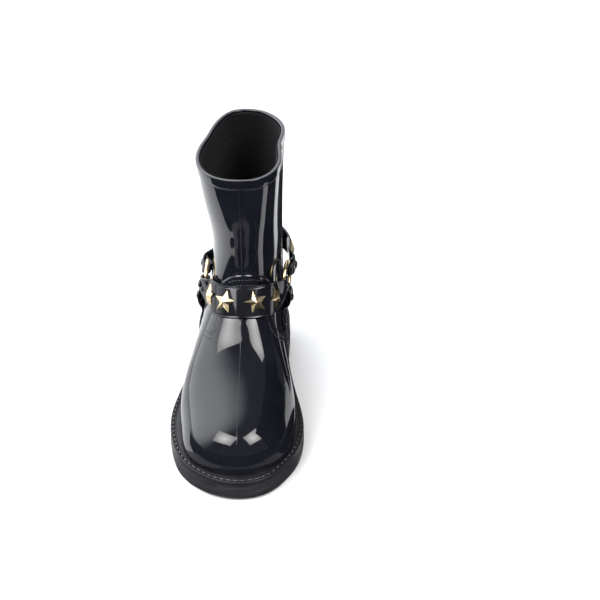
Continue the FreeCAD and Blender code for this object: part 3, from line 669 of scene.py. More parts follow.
piece("topline_binding", bv, bf, [M["upper"], M["rim"]], nodes=("topline_band",), index=idx)
loop = level_ring(phib, RIM_Z - 10.0, 0.0)
nrm = unit(level_ring(phib, RIM_Z - 10.0, 1.0) - loop)
loop2, nrm2 = np.concatenate([loop, loop[:1]]), np.concatenate([nrm, nrm[:1]])
bt, bft = join_parts([stitch_run(loop2 + nrm2 * 0.02, nrm2, 2.7, 1.9, 0.34, 0.06)])
piece("topline_stitches", bt, bft, M["stitch"])

# ------------------------------------------------------------------ lining, ribbed
cl = dense(230)
phil = even_angles(cl)
rl = dense(430)
vl = skin_grid(phil, rl, -2.4, inset=WALL + LINING - 0.1, top=RIM_Z - 3.0)
pl = on_section(section(vl, WALL + LINING - 0.1), np.broadcast_to(phil, vl.shape))
_, nl = skin(vl, np.broadcast_to(phil, vl.shape))
rib = 0.20 + 0.32 * np.sin(2 * np.pi * pl[..., 2] / 2.9)
slack = 0.10 * np.sin(0.09 * pl[..., 2] + 0.5) * np.sin(0.05 * pl[..., 1])
pl = pl - nl * (rib + slack - 0.25)[..., None]
vo = skin_grid(phil, dense(40), -2.4, inset=WALL + 0.06, top=RIM_Z - 2.6)
po = on_section(section(vo, WALL + 0.06), np.broadcast_to(phil, vo.shape))[::-1]
lv, lf = closed_rings(np.concatenate([pl, po], 0))


def inner_half(y, z, inset):
    """x of the lateral and medial sides of the inside at y and z; nan outside it"""
    y, z = np.broadcast_arrays(np.asarray(y, float), np.asarray(z, float))
    lo, hi = np.zeros(y.shape), np.full(y.shape, float(LAST))
    for _ in range(44):
        k = (lo + hi) / 2
        r = section(k, inset)
        low = (r[2] - r[0]) * (z - r[1]) - (r[3] - r[1]) * (y - r[0]) < 0
        lo, hi = np.where(low, k, lo), np.where(low, hi, k)
    r = section(k, inset)
    l2 = (r[2] - r[0]) ** 2 + (r[3] - r[1]) ** 2
    al = ((y - r[0]) * (r[2] - r[0]) + (z - r[1]) * (r[3] - r[1])) / l2
    ok = (al > 0) & (al < 1)
    kb = np.clip((r[6] - al) / r[6], 0, 1) ** r[8]
    kf = np.clip((al - r[6]) / (1 - r[6]), 0, 1) ** r[7]
    w = np.where(al < r[6], np.clip(1 - kb, 0, 1) ** (1 / r[8]), np.clip(1 - kf, 0, 1) ** (1 / r[7]))
    xc = r[10] + (r[9] - r[10]) * (0.5 - 0.5 * np.cos(np.pi * np.clip(al, 0, 1)))
    return np.where(ok, xc - r[4] * w, np.nan), np.where(ok, xc + r[5] * w, np.nan)


def bed(z0, z1, inset, edge, crown=0.0, n=150, k=30):
    """a layer that covers the floor inside: lower and upper heights over the feather line"""
    scan = np.arange(-130, 134, 0.2)
    xl, xr = inner_half(scan, feather(scan) + (z0 + z1) / 2, inset)
    good = np.isfinite(xl) & (xr - xl > 2.0)
    y0, y1 = scan[good].min() + 0.1, scan[good].max() - 0.1
    t = 0.5 - 0.5 * np.cos(np.pi * (np.arange(n) + 0.5) / n)
    y = y0 + (y1 - y0) * t
    xl, xr = inner_half(y, feather(y) + (z0 + z1) / 2, inset)
    loops = []
    for yy, a, b in zip(y, xl, xr):
        w = (b - a) / 2
        c = (a + b) / 2
        e = min(edge, w * 0.5)
        f = float(feather(yy))
        ys = min(yy - y0, y1 - yy)
        er = min(1.0, ys / edge)
        drop_end = edge * 0.55 * (1 - math.sqrt(max(0.0, 1 - (1 - er) ** 2)))
        bot = [(c + w * s, yy, f + z0) for s in np.linspace(-1, 1, 6)]
        top = []
        for s in np.linspace(1, -1, k):
            s = math.copysign(abs(s) ** 0.75, s)
            x = c + w * s
            d = w - abs(x - c)
            dr = edge * 0.55 * (1 - math.sqrt(max(0.0, 1 - (1 - min(1.0, d / e)) ** 2)))
            top.append((x, yy, f + max(z0 + 0.15, z1 - dr - drop_end + crown * (1 - s * s) - crown)))
        loops.append(bot + top)
    return capped_loft(loops)


floor_v, floor_f = bed(BOARD_T + 0.05, BOARD_T + SOCK_FLOOR, WALL + 0.4, 0.4, n=110, k=14)
lv, lf = join_parts([(lv, lf), (floor_v, floor_f)])
piece("textile_lining", lv, lf, M["lining"], nodes=("sock_lining",))
bz = BOARD_T + SOCK_FLOOR
fv, ff = bed(bz + 0.05, bz + FOOTBED_T - 0.02, WALL + LINING + 0.7, 1.4, n=150, k=26)
footbed = piece("foam_footbed", fv, ff, M["foam"], nodes=("footbed",))
fv, ff = bed(bz + FOOTBED_T + 0.02, bz + FOOTBED_T + COVER_T, WALL + LINING + 0.8, 0.8, 0.0, n=170, k=34)
piece("footbed_top_cover", fv, ff, M["cover"], nodes=("footbed_cover",))

# ------------------------------------------------------------------ welt and outsole
_p = np.concatenate([OUTLINE, OUTLINE, OUTLINE[:1]])
_s = np.concatenate([[0], np.cumsum(np.linalg.norm(np.diff(_p, axis=0), axis=1))])
_q = np.concatenate([OUTLINE] * 3 + [OUTLINE[:1]])
_sq = np.concatenate([[0], np.cumsum(np.linalg.norm(np.diff(_q, axis=0), axis=1))])
_fx, _fy = spline(_sq, _q[:, 0]), spline(_sq, _q[:, 1])
_n = len(OUTLINE)


def outline(count):
    """even points round the sole's edge, starting at the toe and passing the lateral side first, with outward normals"""
    fine = np.linspace(_sq[_n], _sq[2 * _n], 6001)
    pts = np.stack([_fx(fine), _fy(fine)], -1)
    d = np.concatenate([[0], np.cumsum(np.linalg.norm(np.diff(pts, axis=0), axis=1))])
    s = np.interp(np.arange(count) / count * d[-1], d, fine)
    p = np.stack([_fx(s), _fy(s)], -1)
    e = 0.05
    t = np.stack([_fx(s + e) - _fx(s - e), _fy(s + e) - _fy(s - e)], -1)
    t /= np.linalg.norm(t, axis=1, keepdims=True)
    n = np.stack([t[:, 1], -t[:, 0]], -1)
    if (n[0] @ np.array([0.0, -1.0])) < 0:
        n = -n
    return p, n


wc = dense(900)
op, on_ = outline(wc)
rng = np.random.default_rng(7)
arc = np.arange(wc) / wc * 2 * np.pi
rough_edge = 0.05 * np.sin(arc * 173) + 0.04 * np.sin(arc * 311 + 1)
prof = [(0.42, -WELT_T + 0.05), (0.10, -WELT_T + 0.5), (-0.02, -3.1), (0.05, -1.6), (0.12, -0.8), (0.36, -0.30), (0.75, -0.06),
        (1.20, 0.02), (1.75, 0.02), (1.90, -0.14), (2.12, -0.70), (2.75, -0.85), (3.40, -0.70), (3.62, -0.14), (3.88, 0.02),
        (4.50, 0.05), (4.85, -0.06), (5.1, -0.24), (5.4, -0.06), (5.75, 0.05), (8.5, 0.03), (12.0, 0.0), (16.9, -0.02),
        (16.9, -WELT_T + 0.05), (8.0, -WELT_T + 0.05)]
rings_w = []
for k, (d, h) in enumerate(prof):
    xy = op - on_ * (d + rough_edge * (0 < k < 6))[:, None]
    rings_w.append(np.stack([xy[:, 0], xy[:, 1], feather(xy[:, 1]) + h], -1))
wv, wf = closed_rings(np.stack(rings_w, 0))
piece("welt_strip", wv, wf, M["welt"], nodes=("welt",))
cp, cn = outline(1600)
mid = cp - cn * 2.78
line = np.stack([mid[:, 0], mid[:, 1], feather(mid[:, 1]) - 0.50], -1)
line = np.concatenate([line, line[:1]])
length = np.linalg.norm(np.diff(line, axis=0), axis=1).sum()
pitch = length / round(length / 5.9)
up = np.tile([0.0, 0.0, 1.0], (len(line), 1))
stv, stf = stitch_run(line, up, pitch, 4.1, 0.86, -0.26)
piece("welt_stitches", stv, stf, M["stitch"])

# outsole: straight rows across from one side to the other, so both edges share their rows
half = dense(430)
fine = np.linspace(_sq[_n], _sq[2 * _n], 8001)
loop_pts = np.stack([_fx(fine), _fy(fine)], -1)
i_heel, i_toe = loop_pts[:, 1].argmax(), loop_pts[:, 1].argmin()
loop_pts = np.roll(loop_pts[:-1], -i_toe, axis=0)
i_heel = loop_pts[:, 1].argmax()
lat, med = loop_pts[:i_heel + 1], loop_pts[i_heel:][::-1]
med = np.concatenate([loop_pts[:1], med])
lat = lat[np.concatenate([[True], np.diff(np.maximum.accumulate(lat[:, 1])) > 1e-9])]
med = med[np.concatenate([[True], np.diff(np.maximum.accumulate(med[:, 1])) > 1e-9])]
d = np.concatenate([[0], np.cumsum(np.linalg.norm(np.diff(lat, axis=0), axis=1))])
y_rows = np.interp((np.arange(half) + 0.5) / half * d[-1], d, lat[:, 1])
xl = np.interp(y_rows, lat[:, 1], lat[:, 0])
xr = np.interp(y_rows, med[:, 1], med[:, 0])
edge = np.concatenate([np.stack([xl, y_rows], -1), np.stack([xr, y_rows], -1)[::-1]], 0)
tang = np.roll(edge, -1, 0) - np.roll(edge, 1, 0)
tang /= np.linalg.norm(tang, axis=1, keepdims=True)
en = np.stack([tang[:, 1], -tang[:, 0]], -1)
en = np.where(((en * (edge - [0.0, 0.0])).sum(-1) < 0)[:, None], -en, en)
ground = lambda y: np.interp(y, GROUND[:, 0], GROUND[:, 1])
ec = len(edge)
ea = np.arctan2(edge[:, 0], edge[:, 1])
zt = feather(edge[:, 1]) - WELT_T - 0.02
zb = ground(edge[:, 1])
side_rows = dense(84)
wall = []
for k, t in enumerate(np.linspace(0, 1, side_rows)):
    z = zt + (zb + 0.9 - zt) * t
    fade = min(1.0, t / 0.05, (1 - t) / 0.05)
    # moulded striations: fine uneven horizontal grooves, broken along the side
    wob = 0.7 * np.sin(3 * ea + 1.3) + 0.4 * np.sin(11 * ea)
    s1 = np.sin(2 * np.pi * (z / 1.55) + wob)
    s2 = np.sin(2 * np.pi * (z / 0.93) + 2.1 * np.sin(5 * ea) + 1.0)
    amp = 0.13 + 0.05 * np.sin(17 * ea + z * 0.8)
    off = (amp * s1 + 0.05 * s2) * fade
    bulge = 0.35 * math.sin(math.pi * t) - 0.15
    xy = edge + en * (off + bulge - 0.10)[:, None]
    wall.append(np.stack([xy[:, 0], xy[:, 1], z], -1))
for dz, din in ((0.55, 0.10), (0.25, 0.32), (0.06, 0.62)):
    xy = edge - en * (din + 0.20)
    wall.append(np.stack([xy[:, 0], xy[:, 1], zb + dz], -1))
top_rows = []
for din in (16.0, 6.0, 0.9):
    xy = edge - en * din
    top_rows.append(np.stack([xy[:, 0], xy[:, 1], feather(xy[:, 1]) - WELT_T - 0.02], -1))
sole_grid = np.concatenate([np.stack(top_rows, 0), np.stack(wall, 0)], 0)
sv = sole_grid.reshape(-1, 3)
sf = sheet_faces(len(sole_grid), ec)
# underside
K = dense(84)
last = (len(sole_grid) - 1) * ec
bot_l, bot_r = sole_grid[-1][:half], sole_grid[-1][half:][::-1]


def tread(x, y):
    z = ground(y)
    xa, xb = np.interp(y, y_rows, xl), np.interp(y, y_rows, xr)
    inside = np.minimum(np.minimum(x - xa, xb - x), np.minimum(y + 136.8, 137.5 - y)) - 9.0
    m = step(inside, 1.4)
    g = np.zeros_like(x)
    centres = [-118 + 12.2 * k for k in range(11)] + [HEEL_FRONT + 12 + 13 * k for k in range(5)]
    for c in centres:
        g = np.maximum(g, step(1.6 - np.abs(y - c), 0.9))
    return z + g * m * (LUG_DEPTH * np.ones_like(x)) + 0.04 * np.sin(1.9 * x) * np.sin(1.9 * y)


inner_pts = []
for j in range(1, K):
    t = j / K
    x = bot_l[:, 0] + (bot_r[:, 0] - bot_l[:, 0]) * t
    y = bot_l[:, 1] + (bot_r[:, 1] - bot_l[:, 1]) * t
    inner_pts.append(np.stack([x, y, tread(x, y)], -1))
inner_pts = np.stack(inner_pts, 1)
base = len(sv)
sv = np.concatenate([sv, inner_pts.reshape(-1, 3)])


def at(i, j):
    if j == 0:
        return last + i
    if j == K:
        return last + ec - 1 - i
    return base + i * (K - 1) + j - 1


for i in range(half - 1):
    for j in range(K):
        sf.append([at(i, j), at(i, j + 1), at(i + 1, j + 1), at(i + 1, j)])
sf.append([at(0, j) for j in range(K, -1, -1)])
sf.append([at(half - 1, j) for j in range(K + 1)])
# closed top, under the upper
for i in range(half - 1):
    sf.append([i, i + 1, ec - 2 - i, ec - 1 - i])
piece("lugged_outsole", sv, sf, M["sole"], nodes=("outsole",), level=False)

# ------------------------------------------------------------------ rings, straps
RINGS = {}
for name, side in (("lateral", -1), ("medial", 1)):
    top, _ = side_point(RING_C[0], RING_C[1] + 13, side)
    low, _ = side_point(RING_C[0], RING_C[1] - 13, side)
    fr, _ = side_point(RING_C[0] - 13, RING_C[1], side)
    bk, _ = side_point(RING_C[0] + 13, RING_C[1], side)
    ax = unit(np.cross(bk - fr, top - low))
    if ax[0] * side < 0:
        ax = -ax
    mid_, _ = side_point(RING_C[0], RING_C[1], side)
    off = max(float((q - mid_) @ ax) for q in (top, low, fr, bk, mid_)) + WIRE_R + RING_OFF[side]
    RINGS[side] = (mid_ + ax * off, ax)


def ring_frame(side, direction):
    c, ax = RINGS[side]
    d = unit(np.asarray(direction, float) - ax * (np.asarray(direction, float) @ ax))
    return c + d * RING_R, d, np.cross(ax, d), ax


for name, side in (("lateral", -1), ("medial", 1)):
    c, ax = RINGS[side]
    u = unit(np.cross(ax, [0, 1, 0]))
    w = np.cross(ax, u)
    n_, k_ = dense(220), dense(44)
    a = np.arange(n_) * 2 * np.pi / n_
    b = np.arange(k_) * 2 * np.pi / k_
    rad = u[None] * np.cos(a)[:, None] + w[None] * np.sin(a)[:, None]
    wire = WIRE_R * (1 + 0.012 * np.sin(3 * a + 1) + 0.008 * np.sin(7 * a))
    # the butt weld, a slight swelling dressed almost flush
    wire = wire * (1 + 0.035 * np.exp(-((np.angle(np.exp(1j * (a - 0.6)))) / 0.05) ** 2))
    g = c + rad[:, None] * (RING_R + wire[:, None] * np.cos(b)[None])[..., None] + ax * (wire[:, None] * np.sin(b)[None])[..., None]
    rv, rf = closed_rings(g)
    piece(name + "_wire_ring", rv, rf, M["wire"], body=name + "_ring_body", nodes=(name + "_ring",), level=False)

LIFT = WIRE_R + RING_GAP + STRAP_T / 2


def end_point(side, direction, back):
    p, d, t, ax = ring_frame(side, direction)
    return p + ax * LIFT + d * back


def taper(k, wide, ends):
    e = np.clip(np.minimum(k, 1 - k) / ends, 0, 1)
    e = e * e * (3 - 2 * e)
    return LOOP_W + (wide - LOOP_W) * e


def strap_section(width, thick, crown=0.18, r=0.42):
    """one cross-section of a moulded strap: (across, out) with rounded edges, a low crown and an edge groove"""
    w, h = width / 2, thick / 2
    pts = []
    xs = np.concatenate([[-w + r, -w + 1.25, -w + 1.5, -w + 1.75], np.linspace(-w + 2.3, w - 2.3, 9), [w - 1.75, w - 1.5, w - 1.25, w - r]])
    for x in xs:
        groove = 0.22 if abs(abs(x) - (w - 1.5)) < 0.01 else 0.0
        pts.append((x, h + crown * (1 - (x / w) ** 2) - groove - 0.05))
    for a in np.linspace(np.pi / 2, -np.pi / 2, 7)[1:-1]:
        pts.append((w - r + r * math.cos(a), (h - r) * (1 if a > 0 else -1 if a < 0 else 0) + r * math.sin(a)))
    for x in np.linspace(w - r, -w + r, 7):
        pts.append((x, -h))
    for a in np.linspace(-np.pi / 2, -3 * np.pi / 2, 7)[1:-1]:
        pts.append((-w + r + r * math.cos(a), (h - r) * (1 if math.sin(a) > 1e-9 else -1 if math.sin(a) < -1e-9 else 0) + r * math.sin(a)))
    return np.array(pts)


def make_strap(name, end_a, end_b, mids, width_of, normal_of, nodes, n=None, foot=None):
    """a strap along its guide points, folded round a ring at an end and closed on its own back"""
    n = n or dense(170)
    pts = [end_point(*end_a, 0.0), end_point(*end_a, 7.0)] + list(mids)
    if end_b:
        pts += [end_point(*end_b, 7.0), end_point(*end_b, 0.0)]
    path = smooth_path(pts, n)
    k = np.linspace(0, 1, n)
    t = unit(np.gradient(path, axis=0))
    nn = normal_of(k, path)
    s = np.concatenate([[0], np.cumsum(np.linalg.norm(np.diff(path, axis=0), axis=1))])
    for end, dist in ((end_a, s), (end_b, s[-1] - s)):
        if end:
            ax = RINGS[end[0]][1]
            e = np.clip(dist / 13.0, 0, 1)
            e = (e * e * (3 - 2 * e))[:, None]
            nn = unit(ax * (1 - e) + nn * e)
    nn = unit(nn - t * (nn * t).sum(-1, keepdims=True))
    wd = unit(np.cross(nn, t))
    width = width_of(k)
    rows = [(path[i], nn[i], wd[i], width[i]) for i in range(n)]
    for which, end in (("a", end_a), ("b", end_b)):
        if not end:
            continue
        p, d, tt, ax = ring_frame(*end)
        fold = []
        w0 = wd[0] if which == "a" else wd[-1]
        for a in np.linspace(0, math.pi, 15)[1:]:
            rad = ax * math.cos(a) - d * math.sin(a)
            fold.append((p + rad * LIFT, rad, w0, LOOP_W))
        tail = [(-LIFT + 0.12, 2.2), (-LIFT + 0.75, 3.9), (-LIFT + 2.3, 5.6), (LIFT - STRAP_T - 1.0, 7.0),
                (LIFT - STRAP_T - 0.22, 8.4), (LIFT - STRAP_T - 0.06, 9.8), (LIFT - STRAP_T - 0.05, 11.2)]
        line = smooth_path([p - ax * LIFT] + [p + ax * a + d * b for a, b in tail], 22)[1:]
        tg = unit(np.gradient(line, axis=0))
        for q, g in zip(line, tg):
            o_ = unit(np.cross(g, tt))
            if o_ @ ax > 0:
                o_ = -o_
            fold.append((q, o_, w0, LOOP_W))
        rows = (fold[::-1] + rows) if which == "a" else (rows + fold)
    loops = []
    for c, no, w_, wid in rows:
        sec = strap_section(wid, STRAP_T)
        loops.append(c + w_ * sec[:, :1] + no * sec[:, 1:])
    loops = np.asarray(loops)
    if foot is not None:      # a rounded end
        for i in range(8):
            q = i / 7.0
            f = math.sqrt(max(0.0, 1 - (q * 0.97) ** 2))
            row = rows[-1]
            tdir = t[-1]
            sec = strap_section(max(1.4, row[3] * (0.35 + 0.65 * f)), STRAP_T)
            loops = np.concatenate([loops, (row[0] + tdir * (0.2 + q * foot) + row[2] * sec[:, :1] + row[1] * sec[:, 1:])[None]])
    sv_, sf_ = capped_loft(loops)
    piece(name, sv_, sf_, M["strap"], nodes=nodes, level=False)
    return path, nn, wd


FWD, REAR, DOWN = (0, -1, 0.18), (0, 1, 0.1), (0, 0, -1)


def strap_z(y):
    return 117.5 + (y + 17.4) * (112.0 - 117.5) / 41.4


front_mids = [side_point(y, strap_z(y), -1, out)[0] for y, out in ((9, 3.4), (0, 3.2), (-8, 3.2), (-13.5, 3.3))]
front_mids.append(skin(RIDGE_V, math.pi, 3.2)[0])
front_mids += [side_point(y, strap_z(y) - drop, 1, out)[0]
               for y, out, drop in ((-14, 3.6, 0.3), (-10, 5.4, 0.8), (-3, 7.0, 1.4), (7, 7.4, 1.4))]


def front_normal(k, p):
    e = np.cos(np.pi * (k - 0.5)) ** 2
    o = unit(np.stack([p[:, 0] - 3.0, p[:, 1] - 30.0, 0 * k], -1))
    o[:, 2] += 0.62 * e
    return unit(o)


st_front = make_strap("front_harness_strap", (-1, FWD), (1, FWD), front_mids, lambda k: taper(k, STRAP_W, 0.2),
                      front_normal, ("front_strap",))
rear_mids = [side_point(y, z, -1, out)[0] for y, z, out in ((66, 112.5, 3.2), (86, 113.5, 3.0), (106, 115.0, 3.2))]
rear_mids += [np.array(q) for q in ((-8.5, 128.6, 116.2), (4.5, 131.2, 116.6), (18.5, 128.6, 116.2))]
rear_mids += [side_point(y, z, 1, out)[0] for y, z, out in ((106, 115.0, 5.4), (86, 113.5, 7.4), (66, 112.5, 7.6))]


def rear_normal(k, p):
    o = unit(np.stack([p[:, 0] - 4.0, p[:, 1] - 80.0, 0 * k], -1))
    s_ = np.stack([np.sign(p[:, 0]), 0 * k, 0 * k], -1)
    e = np.clip((p[:, 1] - 60) / 50.0, 0, 1)[:, None]
    return unit(s_ * (1 - e) + o * e)


st_rear = make_strap("rear_harness_strap", (-1, REAR), (1, REAR), rear_mids, lambda k: taper(k, REAR_W, 0.12),
                     rear_normal, ("rear_strap",))
anchors = {}
for name, side in (("lateral", -1), ("medial", 1)):
    mids = [side_point(y, z, side, out)[0]
            for y, z, out in ((40, 84, 2.6), (41.5, 70, 1.9), (42.5, 56, 1.5), (43, 43, 1.3), (43, 35.5, 1.3))]

    def low_normal(k, p, side=side):
        return side_point(p[:, 1], np.maximum(36.0, p[:, 2]), side)[1]
    make_strap(name + "_side_strap", (side, DOWN), None, mids,
               lambda k: LOOP_W + (LOWER_W - LOOP_W) * np.minimum(1.0, k / 0.3), low_normal, (name + "_lower_strap",))
    anchors[side] = side_point(43, ANCHOR_Z, side, 0)


# ------------------------------------------------------------------ studs and rivets
def place_on(st, k):
    path, nn, wd = st
    f = k * (len(path) - 1)
    i = min(len(path) - 2, int(f))
    e = f - i
    return (path[i] * (1 - e) + path[i + 1] * e, unit(nn[i] * (1 - e) + nn[i + 1] * e),
            unit(wd[i] * (1 - e) + wd[i + 1] * e))


def star_mesh(c, n, upw, turn, rng_):
    u = unit(upw - n * (upw @ n))
    w = np.cross(n, u)
    pts = []
    for k in range(10):
        a = turn + math.pi * k / 5
        r = STAR_R if k % 2 == 0 else STAR_R * 0.47
        pts.append((r, a))
    ring = lambda z, g: [c + (u * math.cos(a) + w * math.sin(a)) * (r * g) + n * z for r, a in pts]
    verts = ring(-0.25, 1.0) + ring(0.55, 1.0) + [c + n * STAR_H]
    faces = [list(range(9, -1, -1))]
    for k in range(10):
        j = (k + 1) % 10
        faces.append([k, j, 10 + j, 10 + k])
        faces.append([10 + k, 10 + j, 20])
    return np.array(verts), faces


def soften(o, width, segments=2):
    import bmesh
    bm = bmesh.new()
    bm.from_mesh(o.data)
    bmesh.ops.bevel(bm, geom=[e for e in bm.edges], offset=width, segments=segments, profile=0.6, affect="EDGES",
                    clamp_overlap=True)
    bmesh.ops.recalc_face_normals(bm, faces=bm.faces)
    bm.to_mesh(o.data)
    bm.free()


FRONT_STARS = [(0.225, 0.10), (0.390, -0.10), (0.600, 0.16), (0.780, 0.30)]
REAR_STARS = [(0.19, 0.2), (0.345, -0.15), (0.50, 0.1), (0.655, 0.3), (0.81, -0.1)]
for nm, st, places in (("front_star_studs", st_front, FRONT_STARS), ("rear_star_studs", st_rear, REAR_STARS)):
    parts = []
    for k, turn in places:
        c, n, w = place_on(st, k)
        parts.append(star_mesh(c + n * (STRAP_T / 2 + 0.2), n, w, turn, rng))
    a, b = join_parts(parts)
    o = piece(nm.replace("star_studs", "stars"), a, b, M["gold"], nodes=(nm,), smooth=False, level=False)
    soften(o, 0.00022)


def dome(c, n, radius, height, rows=9, around=36, foot=0.3):
    u = unit(np.cross(n, [0.3, 0.2, 0.9]))
    w = np.cross(n, u)
    a = np.arange(around) * 2 * np.pi / around
    prof = [(radius * 0.3, -foot), (radius * 0.97, -foot), (radius, -foot + 0.1), (radius, 0.25)]
    for t in np.linspace(0.12, 0.97, rows):
        prof.append((radius * math.cos(t * math.pi / 2) ** 0.8, 0.3 + (height - 0.3) * math.sin(t * math.pi / 2)))
    loops = [c + (u * np.cos(a)[:, None] + w * np.sin(a)[:, None]) * r + n * z for r, z in prof]
    return capped_loft(np.asarray(loops))


caps = []
for side, direction in ((-1, FWD), (1, FWD), (-1, REAR), (1, REAR), (-1, DOWN), (1, DOWN)):
    p, d, t, ax = ring_frame(side, direction)
    caps.append(dome(p + d * 6.4 + ax * (LIFT + STRAP_T / 2 + 0.12), ax, CAP_R, 1.7))
a, b = join_parts(caps)
piece("loop_rivet_caps", a, b, M["cap"], nodes=("loop_rivets",), level=False)
caps = []
for side in (-1, 1):
    q, nn = anchors[side]
    caps.append(dome(q + nn * (1.3 + STRAP_T / 2 + 0.25), nn, 4.2, 2.0))
a, b = join_parts(caps)
piece("anchor_rivet_caps", a, b, M["cap"], nodes=("anchor_rivets",), level=False)

# parts of the frame that stay as they are, hidden between the others
for node, mat in (("insole_board", "board"), ("heel_filler", "filler"), ("front_stud_washers", "steel"),
                  ("rear_stud_washers", "steel"), ("loop_rivet_burrs", "steel")):
    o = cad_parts[node]
    if o.material_slots:
        for s_ in o.material_slots:
            s_.material = M[mat]
    else:
        o.data.materials.append(M[mat])

# ------------------------------------------------------------------ floor, lights, camera
scene = bpy.context.scene
scene.view_settings.view_transform = "Standard"
scene.view_settings.look = "None"
world = bpy.data.worlds.new("studio")
scene.world = world
world.use_nodes = True
wn = world.node_tree
bg = wn.nodes["Background"]
bg.inputs["Color"].default_value = (0.94, 0.96, 1.0, 1)
wtc = wn.nodes.new("ShaderNodeTexCoord")
dot = wn.nodes.new("ShaderNodeVectorMath")
dot.operation = "DOT_PRODUCT"
dot.inputs[1].default_value = (-0.72, 0.45, 0.53)
wn.links.new(wtc.outputs["Generated"], dot.inputs[0])
wr = wn.nodes.new("ShaderNodeMapRange")
wr.interpolation_type = "SMOOTHSTEP"
wr.inputs["From Min"].default_value, wr.inputs["From Max"].default_value = 0.42, 0.92
wr.inputs["To Min"].default_value, wr.inputs["To Max"].default_value = 0.16, 3.4
wn.links.new(dot.outputs["Value"], wr.inputs["Value"])
wn.links.new(wr.outputs["Result"], bg.inputs["Strength"])


def plain(name, colour, emit=None):
    m, nt, bsdf = new_material(name)
    bsdf.inputs["Base Color"].default_value = (*colour, 1)
    bsdf.inputs["Roughness"].default_value = 0.9
    bsdf.inputs["Specular IOR Level"].default_value = 0.1
    return m


def slab(name, centre, half_u, half_v, mat):
    me = bpy.data.meshes.new(name)
    c, u, w = map(Vector, (centre, half_u, half_v))
    me.from_pydata([c - u - w, c + u - w, c + u + w, c - u + w], [], [(0, 1, 2, 3)])
    me.materials.append(mat)
    o = bpy.data.objects.new(name, me)
    scene.collection.objects.link(o)
    return o


floor_z = min(0.0, cad_box[0][2]) - 0.0002
floor_o = slab("studio_floor", (0, 0, floor_z), (60, 0, 0), (0, 60, 0), plain("floor_white", (0.80, 0.805, 0.81)))
BLACK = plain("card_black", (0.004, 0.004, 0.005))


def card(name, corners, paper=None):
    """a dark card that only shows in reflections"""
    me = bpy.data.meshes.new(name)
    me.from_pydata([Vector(c) for c in corners], [], [tuple(range(len(corners)))])
    me.materials.append(paper or BLACK)
    o = bpy.data.objects.new(name, me)
    scene.collection.objects.link(o)
    o.visible_camera = False
    o.visible_shadow = False
    o.visible_diffuse = False
    return o


card("card_medial_front", [(0.165, -0.16, 0.002), (0.165, -0.005, 0.002), (0.165, -0.005, 0.243), (0.165, -0.16, 0.243)])
card("card_medial_back", [(0.165, 0.045, 0.002), (0.165, 0.20, 0.002), (0.165, 0.20, 0.243), (0.165, 0.045, 0.243)])
card("card_medial_top", [(0.165, -0.005, 0.118), (0.165, 0.045, 0.118), (0.165, 0.045, 0.243), (0.165, -0.005, 0.243)])
card("card_floor_front", [(-0.60, 0.18, 0.001), (-0.30, 0.02, 0.001), (-0.14, -0.07, 0.001), (-0.098, -0.110, 0.001),
                          (-0.070, -0.088, 0.001), (-0.040, -0.115, 0.001), (0.040, -0.115, 0.001), (0.060, -0.088, 0.001),
                          (0.105, -0.105, 0.001), (0.50, 0.0, 0.001), (61.0, -35.0, 0.001), (61.0, -61.0, 0.001),
                          (-61.0, -61.0, 0.001), (-61.0, -35.0, 0.001)])
card("card_toe_lateral", [(-0.104, -0.113, 0.002), (-0.070, -0.080, 0.002), (-0.030, -0.115, 0.002), (-0.030, -0.167, 0.002),
                          (-0.050, -0.160, 0.002), (-0.078, -0.149, 0.002), (-0.108, -0.126, 0.002)],
     plain("card_grey", (0.22, 0.22, 0.225)))
card("card_toe_middle", [(-0.030, -0.115, 0.002), (0.030, -0.115, 0.002), (0.030, -0.168, 0.002), (0.010, -0.172, 0.002),
                         (-0.022, -0.169, 0.002), (-0.030, -0.167, 0.002)], plain("card_deep_grey", (0.10, 0.10, 0.103)))
card("card_toe_medial", [(0.030, -0.115, 0.002), (0.060, -0.086, 0.002), (0.108, -0.112, 0.002), (0.090, -0.142, 0.002),
                         (0.045, -0.163, 0.002), (0.030, -0.168, 0.002)], plain("card_dim_grey", (0.18, 0.18, 0.184)))
card("card_floor_gap", [(0.072, -0.120, 0.0012), (0.165, -0.120, 0.0012), (0.165, -0.005, 0.0012), (0.072, -0.005, 0.0012)])
card("card_floor_medial", [(0.062, 0.05, 0.001), (0.15, 0.05, 0.001), (0.15, 0.9, 0.001), (0.03, 0.9, 0.001), (0.045, 0.17, 0.001)])

# the white paper far behind: a shell that only the camera sees
shell_v, shell_f = [], []
for i in range(25):
    for j in range(48):
        a, b = math.pi * (i + 0.5) / 25, 2 * math.pi * j / 48
        shell_v.append((9 * math.sin(a) * math.cos(b), 9 * math.sin(a) * math.sin(b), 9 * math.cos(a)))
        if i < 24:
            k = (j + 1) % 48
            shell_f.append((i * 48 + j, i * 48 + k, (i + 1) * 48 + k, (i + 1) * 48 + j))
shell_f += [tuple(range(48)), tuple(24 * 48 + j for j in range(47, -1, -1))]
paper = bpy.data.materials.new("paper_white")
paper.use_nodes = True
paper.node_tree.nodes.clear()
glow = paper.node_tree.nodes.new("ShaderNodeEmission")
glow.inputs["Color"].default_value = (1.0, 1.0, 1.0, 1)
paper.node_tree.links.new(glow.outputs[0], paper.node_tree.nodes.new("ShaderNodeOutputMaterial").inputs["Surface"])
shell_me = bpy.data.meshes.new("backdrop")
shell_me.from_pydata(shell_v, [], shell_f)
shell_me.materials.append(paper)
shell_o = bpy.data.objects.new("backdrop", shell_me)
scene.collection.objects.link(shell_o)
for kind in ("diffuse", "glossy", "transmission", "volume_scatter", "shadow"):
    setattr(shell_o, "visible_" + kind, False)

LIGHT_AT = Vector((0.0, -0.03, 0.08))


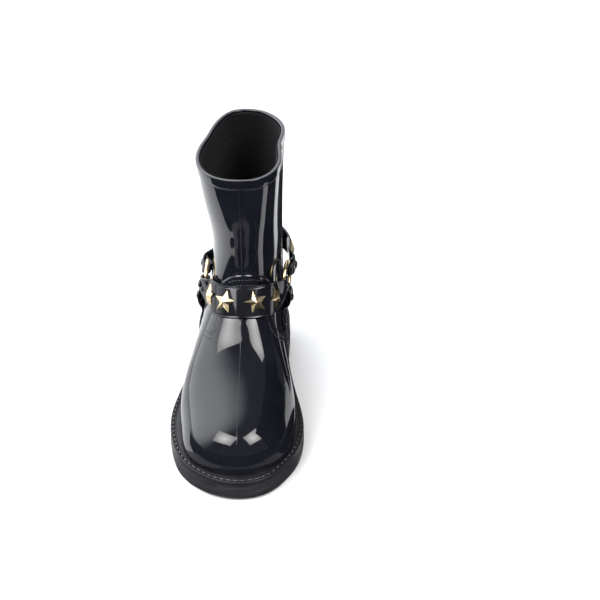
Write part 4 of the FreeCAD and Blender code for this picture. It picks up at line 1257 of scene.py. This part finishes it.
def softbox(name, az, el, dist, w, h, radiance, colour=(1, 1, 1), at=None):
    """a panel light; az from the toe direction towards the medial side, degrees"""
    a, e = math.radians(az), math.radians(el)
    d = Vector((math.sin(a) * math.cos(e), -math.cos(a) * math.cos(e), math.sin(e)))
    l = bpy.data.lights.new(name, "AREA")
    l.shape, l.size, l.size_y = "RECTANGLE", w, h
    l.energy = radiance * math.pi * w * h
    l.color = colour
    o = bpy.data.objects.new(name, l)
    o.location = (at or LIGHT_AT) + d * dist
    o.rotation_euler = d.to_track_quat("Z", "Y").to_euler()
    scene.collection.objects.link(o)
    return o


def glow_box(name, az, el, dist, w, h, radiance):
    """a softbox whose cloth is brightest at its middle"""
    a, e = math.radians(az), math.radians(el)
    d = Vector((math.sin(a) * math.cos(e), -math.cos(a) * math.cos(e), math.sin(e)))
    rot = d.to_track_quat("Z", "Y").to_matrix()
    c = LIGHT_AT + d * dist
    m = bpy.data.materials.new(name + "_cloth")
    m.use_nodes = True
    nt = m.node_tree
    nt.nodes.clear()
    out = nt.nodes.new("ShaderNodeOutputMaterial")
    em = nt.nodes.new("ShaderNodeEmission")
    nt.links.new(em.outputs[0], out.inputs["Surface"])
    geo = nt.nodes.new("ShaderNodeNewGeometry")
    sub = nt.nodes.new("ShaderNodeVectorMath")
    sub.operation = "DISTANCE"
    sub.inputs[1].default_value = tuple(c)
    nt.links.new(geo.outputs["Position"], sub.inputs[0])
    em.inputs["Color"].default_value = (1.0, 0.99, 0.985, 1)
    nt.links.new(remap(nt, sub.outputs["Value"], 0.0, 0.62, radiance * 1.45, radiance * 0.62), em.inputs["Strength"])
    o = slab(name, c, rot @ Vector((w / 2, 0, 0)), rot @ Vector((0, h / 2, 0)), m)
    o.visible_camera = False
    return o


glow_box("box_front_left", -36, 47, 1.9, 1.36, 1.08, 9.0)
glow_box("box_front_right", 52, 44, 1.9, 1.24, 1.08, 9.0)
softbox("strip_right", 100, 20, 1.8, 0.25, 1.2, 1.2)

cam = bpy.data.cameras.new("camera")
cam.sensor_width, cam.lens = 36.0, 71.4
cam_o = bpy.data.objects.new("camera", cam)
cam_o.location = (0.05525, -0.88334, 0.66263)
cam_o.rotation_euler = Euler((math.radians(58), 0, 0))
scene.collection.objects.link(cam_o)
scene.camera = cam_o
